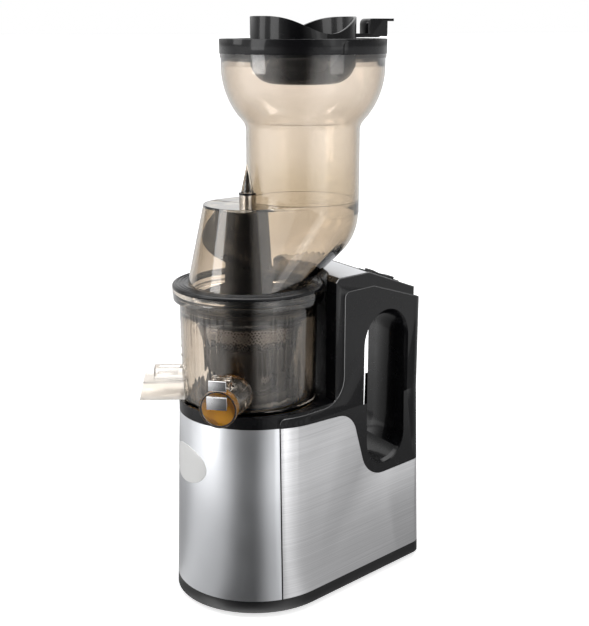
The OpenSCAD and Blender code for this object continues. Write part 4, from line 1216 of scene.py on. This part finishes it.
@dataclass
class Squeezer(Assembly):
    """Auger, strainer and brush cage. Its sections are in millimetres.

    Attributes:
        cage_round: rounding of the cage's edges, in metres.
        cone: height over which the cage's taper is measured.
        sieve: how far below the cage's top the sieve band starts and ends.
        sieve_faces: how far out from the cage its inner and outer face lie.
        bead_feet: height of each bead's foot from the band's lower and upper end.
        bead: a bead's section from the cage's wall.
    """

    cage_round: float = 0.25 * MM
    cone: float = 45.0
    sieve: tuple[float, float] = (12.5, 0.3)
    sieve_faces: tuple[float, float] = (0.1, 0.4)
    bead_feet: tuple[float, float] = (-0.6, -0.4)
    bead: Profile = ((0.0, 0.0), (0.8, 0.2), (0.8, 0.8), (0.0, 1.0))

    def cage_trim(self) -> None:
        """Wrap the sieve band and its two beads round the brush cage."""
        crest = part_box("brush_cage")[1][2]
        wide = reach("brush_cage", crest, 1 * MM) / MM
        slope = (wide - reach("brush_cage", crest - self.cone * MM, 3 * MM) / MM) / self.cone
        top = crest / MM
        (r0, z0), (r1, z1) = ((wide - drop * slope, top - drop) for drop in self.sieve)
        near, far = self.sieve_faces
        self.hoop("cage_sieve", ((r0 + near, z0), (r0 + far, z0), (r1 + far, z1), (r1 + near, z1)), "brush",
                  "mesh_steel")
        for k, z in enumerate((z0 + self.bead_feet[0], z1 + self.bead_feet[1])):
            self.hoop(f"cage_bead_{k + 1}", self.bead, "brush", "charcoal_plastic",
                      at=(wide + slope * (z - top), z))

    def build(self) -> None:
        """Make and dress what turns in the bowl."""
        self.keep("brush_strips", "strainer_frame", "strainer_mesh", "auger_pin")
        self.soften("brush_cage", self.cage_round)
        self.cage_trim()
        self.soften("auger")


@dataclass
class Lid(Assembly):
    """Clear lid with its hopper, ring and flip cup. Its sections are in millimetres.

    Attributes:
        ring_round: rounding of the lid ring's edges, in metres.
        hopper_round: rounding of the hopper ring's and flip cup's edges, in metres.
        step_insets: how far inside the ring's edge each step starts.
        step: a step's section from the ring's top.
        spike: height of the spike over the lid's boss.
        band: section of the boss's band, from the auger's axis and the spike's foot.
        core: the dark core's lower and upper radius, height, and middle over the spike's foot.
    """

    ring_round: float = 0.4 * MM
    hopper_round: float = 0.6 * MM
    step_insets: tuple[float, ...] = (9.5, 6.6, 3.7)
    step: Profile = ((0.0, -0.2), (1.4, -0.2), (1.4, 0.25), (1.1, 0.5), (0.3, 0.5), (0.0, 0.25))
    spike: float = 22.0
    band: Profile = ((6.4, -1.5), (6.8, -1.5), (6.8, -0.1), (6.4, -0.1))
    core: tuple[float, float, float, float] = (2.6, 0.2, 17.0, 8.8)

    def steps(self) -> None:
        """Raise the fine steps on the lid ring."""
        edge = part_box("lid_ring")[1]
        for k, inset in enumerate(self.step_insets):
            self.hoop(f"ring_step_{k + 1}", self.step, "hopper", "black_gloss",
                      at=((edge[0] - AXIS.x) / MM - inset, edge[2] / MM))

    def tip(self) -> None:
        """Band the lid's boss and set the dark core in its spike."""
        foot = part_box("hopper_lid")[1][2] / MM - self.spike
        self.hoop("boss_band", self.band, "hopper", "black_gloss", at=(0.0, foot))
        wide, narrow, tall, lift = self.core
        bm = bmesh.new()
        bmesh.ops.create_cone(bm, cap_ends=True, segments=24, radius1=wide * MM, radius2=narrow * MM,
                              depth=tall * MM)
        move(bm, AXIS + Vector((0, 0, (foot + lift) * MM)))
        self.add(to_object("spike_core", bm), "hopper", "charcoal_plastic")

    def build(self) -> None:
        """Make and dress the lid and hopper."""
        self.soften("hopper_lid")
        self.soften("feed_hopper")
        self.soften("lid_ring", self.ring_round)
        self.steps()
        self.tip()
        self.keep("top_bush", "lid_gasket", "flip_cup_pins")
        self.soften("hopper_ring", self.hopper_round)
        self.soften("flip_cup", self.hopper_round)


# ---------------------------------------------------------------------------
# Studio


@dataclass(frozen=True)
class Softbox:
    """One lamp of the studio.

    Attributes:
        name: its name.
        azimuth: its direction from the front, in degrees.
        height: its height, in metres.
        away: its distance from the auger's axis, in metres.
        size: width and height, in metres.
        power: its power, in watts.
        mirrored_only: whether it only shows in reflections.
    """

    name: str
    azimuth: float
    height: float
    away: float
    size: tuple[float, float]
    power: float
    mirrored_only: bool = False

    def hang(self, aim: Vector) -> None:
        """Hang the lamp.

        Args:
            aim: the place it points at.
        """
        data = bpy.data.lights.new(self.name, "AREA")
        data.shape = "RECTANGLE"
        data.size, data.size_y = self.size
        data.energy = self.power
        made = bpy.data.objects.new(self.name, data)
        bpy.context.scene.collection.objects.link(made)
        made.visible_diffuse = not self.mirrored_only
        az = math.radians(self.azimuth)
        made.location = AXIS + Vector((math.sin(az) * self.away, -math.cos(az) * self.away, self.height))
        made.rotation_euler = (made.location - aim).to_track_quat("Z", "Y").to_euler()


@dataclass
class Studio:
    """Floor, light and camera at the photograph's angle.

    Attributes:
        azimuth: the camera's direction from the front, in degrees.
        pitch: its angle above level, in degrees.
        distance: its distance from the target, in metres.
        target: what it points at, from the auger's axis at the floor, in metres.
        focal: focal length, in millimetres.
        sensor: height of the sensor, in millimetres.
        rise: vertical shift.
        aim: what the lamps point at, from the auger's axis at the floor, in metres.
        lamps: the softboxes.
        room: pairs of azimuth from the front, in degrees, and brightness in reflections.
        ceiling: brightness overhead in reflections.
        ceiling_edge: sines of the angles above level where it starts and is full.
        cloth: brightness of the cloth behind the object in reflections.
        cloth_foot: sines of the angles above level where it starts and is full.
        cloth_side: the same for how nearly a direction points straight behind the object.
        floor_glow: what the floor adds of itself where it is seen straight.
        floor_near: distances from the axis where the floor's reflection starts to rise and is full.
        floor_rise: its brightness at those two.
        levels: the node group that the floor and the room share.
    """

    azimuth: float = 60.0
    pitch: float = 15.85
    distance: float = 0.94415
    target: tuple[float, float, float] = (0.0, 0.04233, 0.19906)
    focal: float = 65.52
    sensor: float = 36.0
    rise: float = 0.06
    aim: tuple[float, float, float] = (0.0, 0.04, 0.22)
    lamps: tuple[Softbox, ...] = (
        Softbox("strip_left", -3, 0.75, 1.5, (0.6, 1.2), 12.0, mirrored_only=True),
        Softbox("strip_right", 108, 0.75, 1.6, (0.6, 1.2), 3.2, mirrored_only=True),
        Softbox("key_left", -40, 0.9, 1.5, (0.5, 0.8), 4.6),
        Softbox("fill_right", 96, 0.9, 1.6, (0.5, 0.8), 1.4),
        Softbox("top", 20, 1.9, 0.3, (1.2, 1.2), 2.2))
    room: tuple[tuple[float, float], ...] = (
        (-180, 0.35), (-100, 0.35), (-76, 0.42), (-52, 0.45), (-25, 0.88), (14, 0.62), (42, 0.08),
        (63, 0.03), (84, 0.66), (102, 1.0), (118, 0.58), (150, 0.5), (180, 0.35))
    ceiling: float = 5.0
    ceiling_edge: tuple[float, float] = (0.6, 0.85)
    cloth: float = 0.8
    cloth_foot: tuple[float, float] = (0.02, 0.16)
    cloth_side: tuple[float, float] = (0.3, 0.85)
    floor_glow: float = 0.7
    floor_near: tuple[float, float] = (0.4, 0.85)
    floor_rise: tuple[float, float] = (1.0, 2.3)
    levels: bpy.types.NodeTree = field(init=False)

    def __post_init__(self) -> None:
        """Build the node group that the floor and the room share."""
        self.levels = room_group(self.room)

    def camera(self) -> None:
        """Set the camera where the photograph was taken from."""
        data = bpy.data.cameras.new("photo_camera")
        data.sensor_fit = "VERTICAL"
        data.sensor_height = self.sensor
        data.lens = self.focal
        data.shift_y = self.rise
        data.clip_start, data.clip_end = 0.05, 200.0
        made = bpy.data.objects.new("photo_camera", data)
        bpy.context.scene.collection.objects.link(made)
        az, el = math.radians(self.azimuth), math.radians(self.pitch)
        back = Vector((math.sin(az) * math.cos(el), -math.cos(az) * math.cos(el), math.sin(el)))
        made.location = AXIS + Vector(self.target) + back * self.distance
        made.rotation_euler = back.to_track_quat("Z", "Y").to_euler()
        bpy.context.scene.camera = made

    def room_level(self, tool: Tool, x: Socket, y: Socket) -> Socket:
        """Read the room's brightness in a level direction.

        Args:
            tool: the tree's tool.
            x: the direction's X.
            y: the direction's Y.

        Returns:
            The brightness.
        """
        level = tool.node("ShaderNodeGroup", node_tree=self.levels)
        tool.link(x, level.inputs["X"])
        tool.link(y, level.inputs["Y"])
        return level.outputs["Level"]

    def floor(self) -> None:
        """Lay the pale floor, which the object's polish mirrors like the room behind it."""
        bm = bmesh.new()
        bmesh.ops.create_grid(bm, x_segments=1, y_segments=1, size=60.0)
        made = to_object("studio_floor", bm)
        look = bpy.data.materials.new("pale_floor")
        look.use_nodes = True
        shader = look.node_tree.nodes["Principled BSDF"]
        shader.inputs["Base Color"].default_value = (0.93, 0.93, 0.93, 1)
        shader.inputs["Roughness"].default_value = 0.6
        tool = Tool(look.node_tree)
        straight, mirror = straight_view(tool)
        glow = tool.node("ShaderNodeEmission")
        tool.link(tool.math("MULTIPLY", straight, self.floor_glow), glow.inputs["Strength"])
        both = tool.node("ShaderNodeAddShader")
        tool.link(shader.outputs[0], both.inputs[0])
        tool.link(glow.outputs[0], both.inputs[1])
        x, y, _ = tool.axis_place()
        rise = tool.remap(tool.length(x, y), self.floor_near, self.floor_rise, Slope.SOFT)
        mirrored = tool.node("ShaderNodeEmission")
        tool.link(tool.math("MULTIPLY", self.room_level(tool, x, y), rise), mirrored.inputs["Strength"])
        pick = tool.node("ShaderNodeMixShader")
        for shown, socket in zip((mirror, both.outputs[0], mirrored.outputs[0]), pick.inputs):
            tool.link(shown, socket)
        tool.link(pick.outputs[0], look.node_tree.nodes["Material Output"].inputs[0])
        made.data.materials.append(look)

    def world(self) -> None:
        """Light the room: white behind the object, and by direction in its reflections."""
        made = bpy.data.worlds.new("studio_world")
        bpy.context.scene.world = made
        made.use_nodes = True
        made.node_tree.nodes.clear()
        tool = Tool(made.node_tree)
        parts = tool.node("ShaderNodeSeparateXYZ")
        tool.link(tool.node("ShaderNodeTexCoord").outputs["Generated"], parts.inputs[0])
        x, y, z = parts.outputs
        straight, mirror = straight_view(tool)
        behind = math.radians(self.azimuth - 180)
        across = tool.math("ADD", tool.math("MULTIPLY", x, math.sin(behind)),
                           tool.math("MULTIPLY", y, -math.cos(behind)))
        cloth = tool.math("MULTIPLY", tool.remap(z, self.cloth_foot, (0.0, self.cloth), Slope.SOFT),
                          tool.remap(across, self.cloth_side, (0.0, 1.0), Slope.SOFT))
        ceiling = tool.remap(z, self.ceiling_edge, (0.0, self.ceiling), Slope.SOFT)
        lit = tool.math("MULTIPLY", tool.math("ADD", cloth, ceiling), mirror)
        room = tool.node("ShaderNodeBackground")
        tool.link(tool.math("ADD", self.room_level(tool, x, y), lit), room.inputs["Color"])
        white = tool.node("ShaderNodeBackground")
        white.inputs["Color"].default_value = (1, 1, 1, 1)
        mix = tool.node("ShaderNodeMixShader")
        for shown, socket in zip((straight, room.outputs[0], white.outputs[0]), mix.inputs):
            tool.link(shown, socket)
        tool.link(mix.outputs[0], tool.node("ShaderNodeOutputWorld").inputs[0])

    def build(self) -> None:
        """Set up the whole studio."""
        self.camera()
        self.floor()
        self.world()
        for lamp in self.lamps:
            lamp.hang(AXIS + Vector(self.aim))
        bpy.context.scene.view_settings.view_transform = "Standard"


def main() -> None:
    """Build the juicer and its studio."""
    logging.basicConfig(level=logging.INFO, format="%(name)s: %(message)s")
    Studio().build()
    looks = Looks()
    for kind in (Base, Drive, Column, Bowl, Squeezer, Lid):
        part = kind(looks)
        part.build()
        log.info("%s: %d pieces", kind.__name__, part.count)


if __name__ == "__main__":
    main()
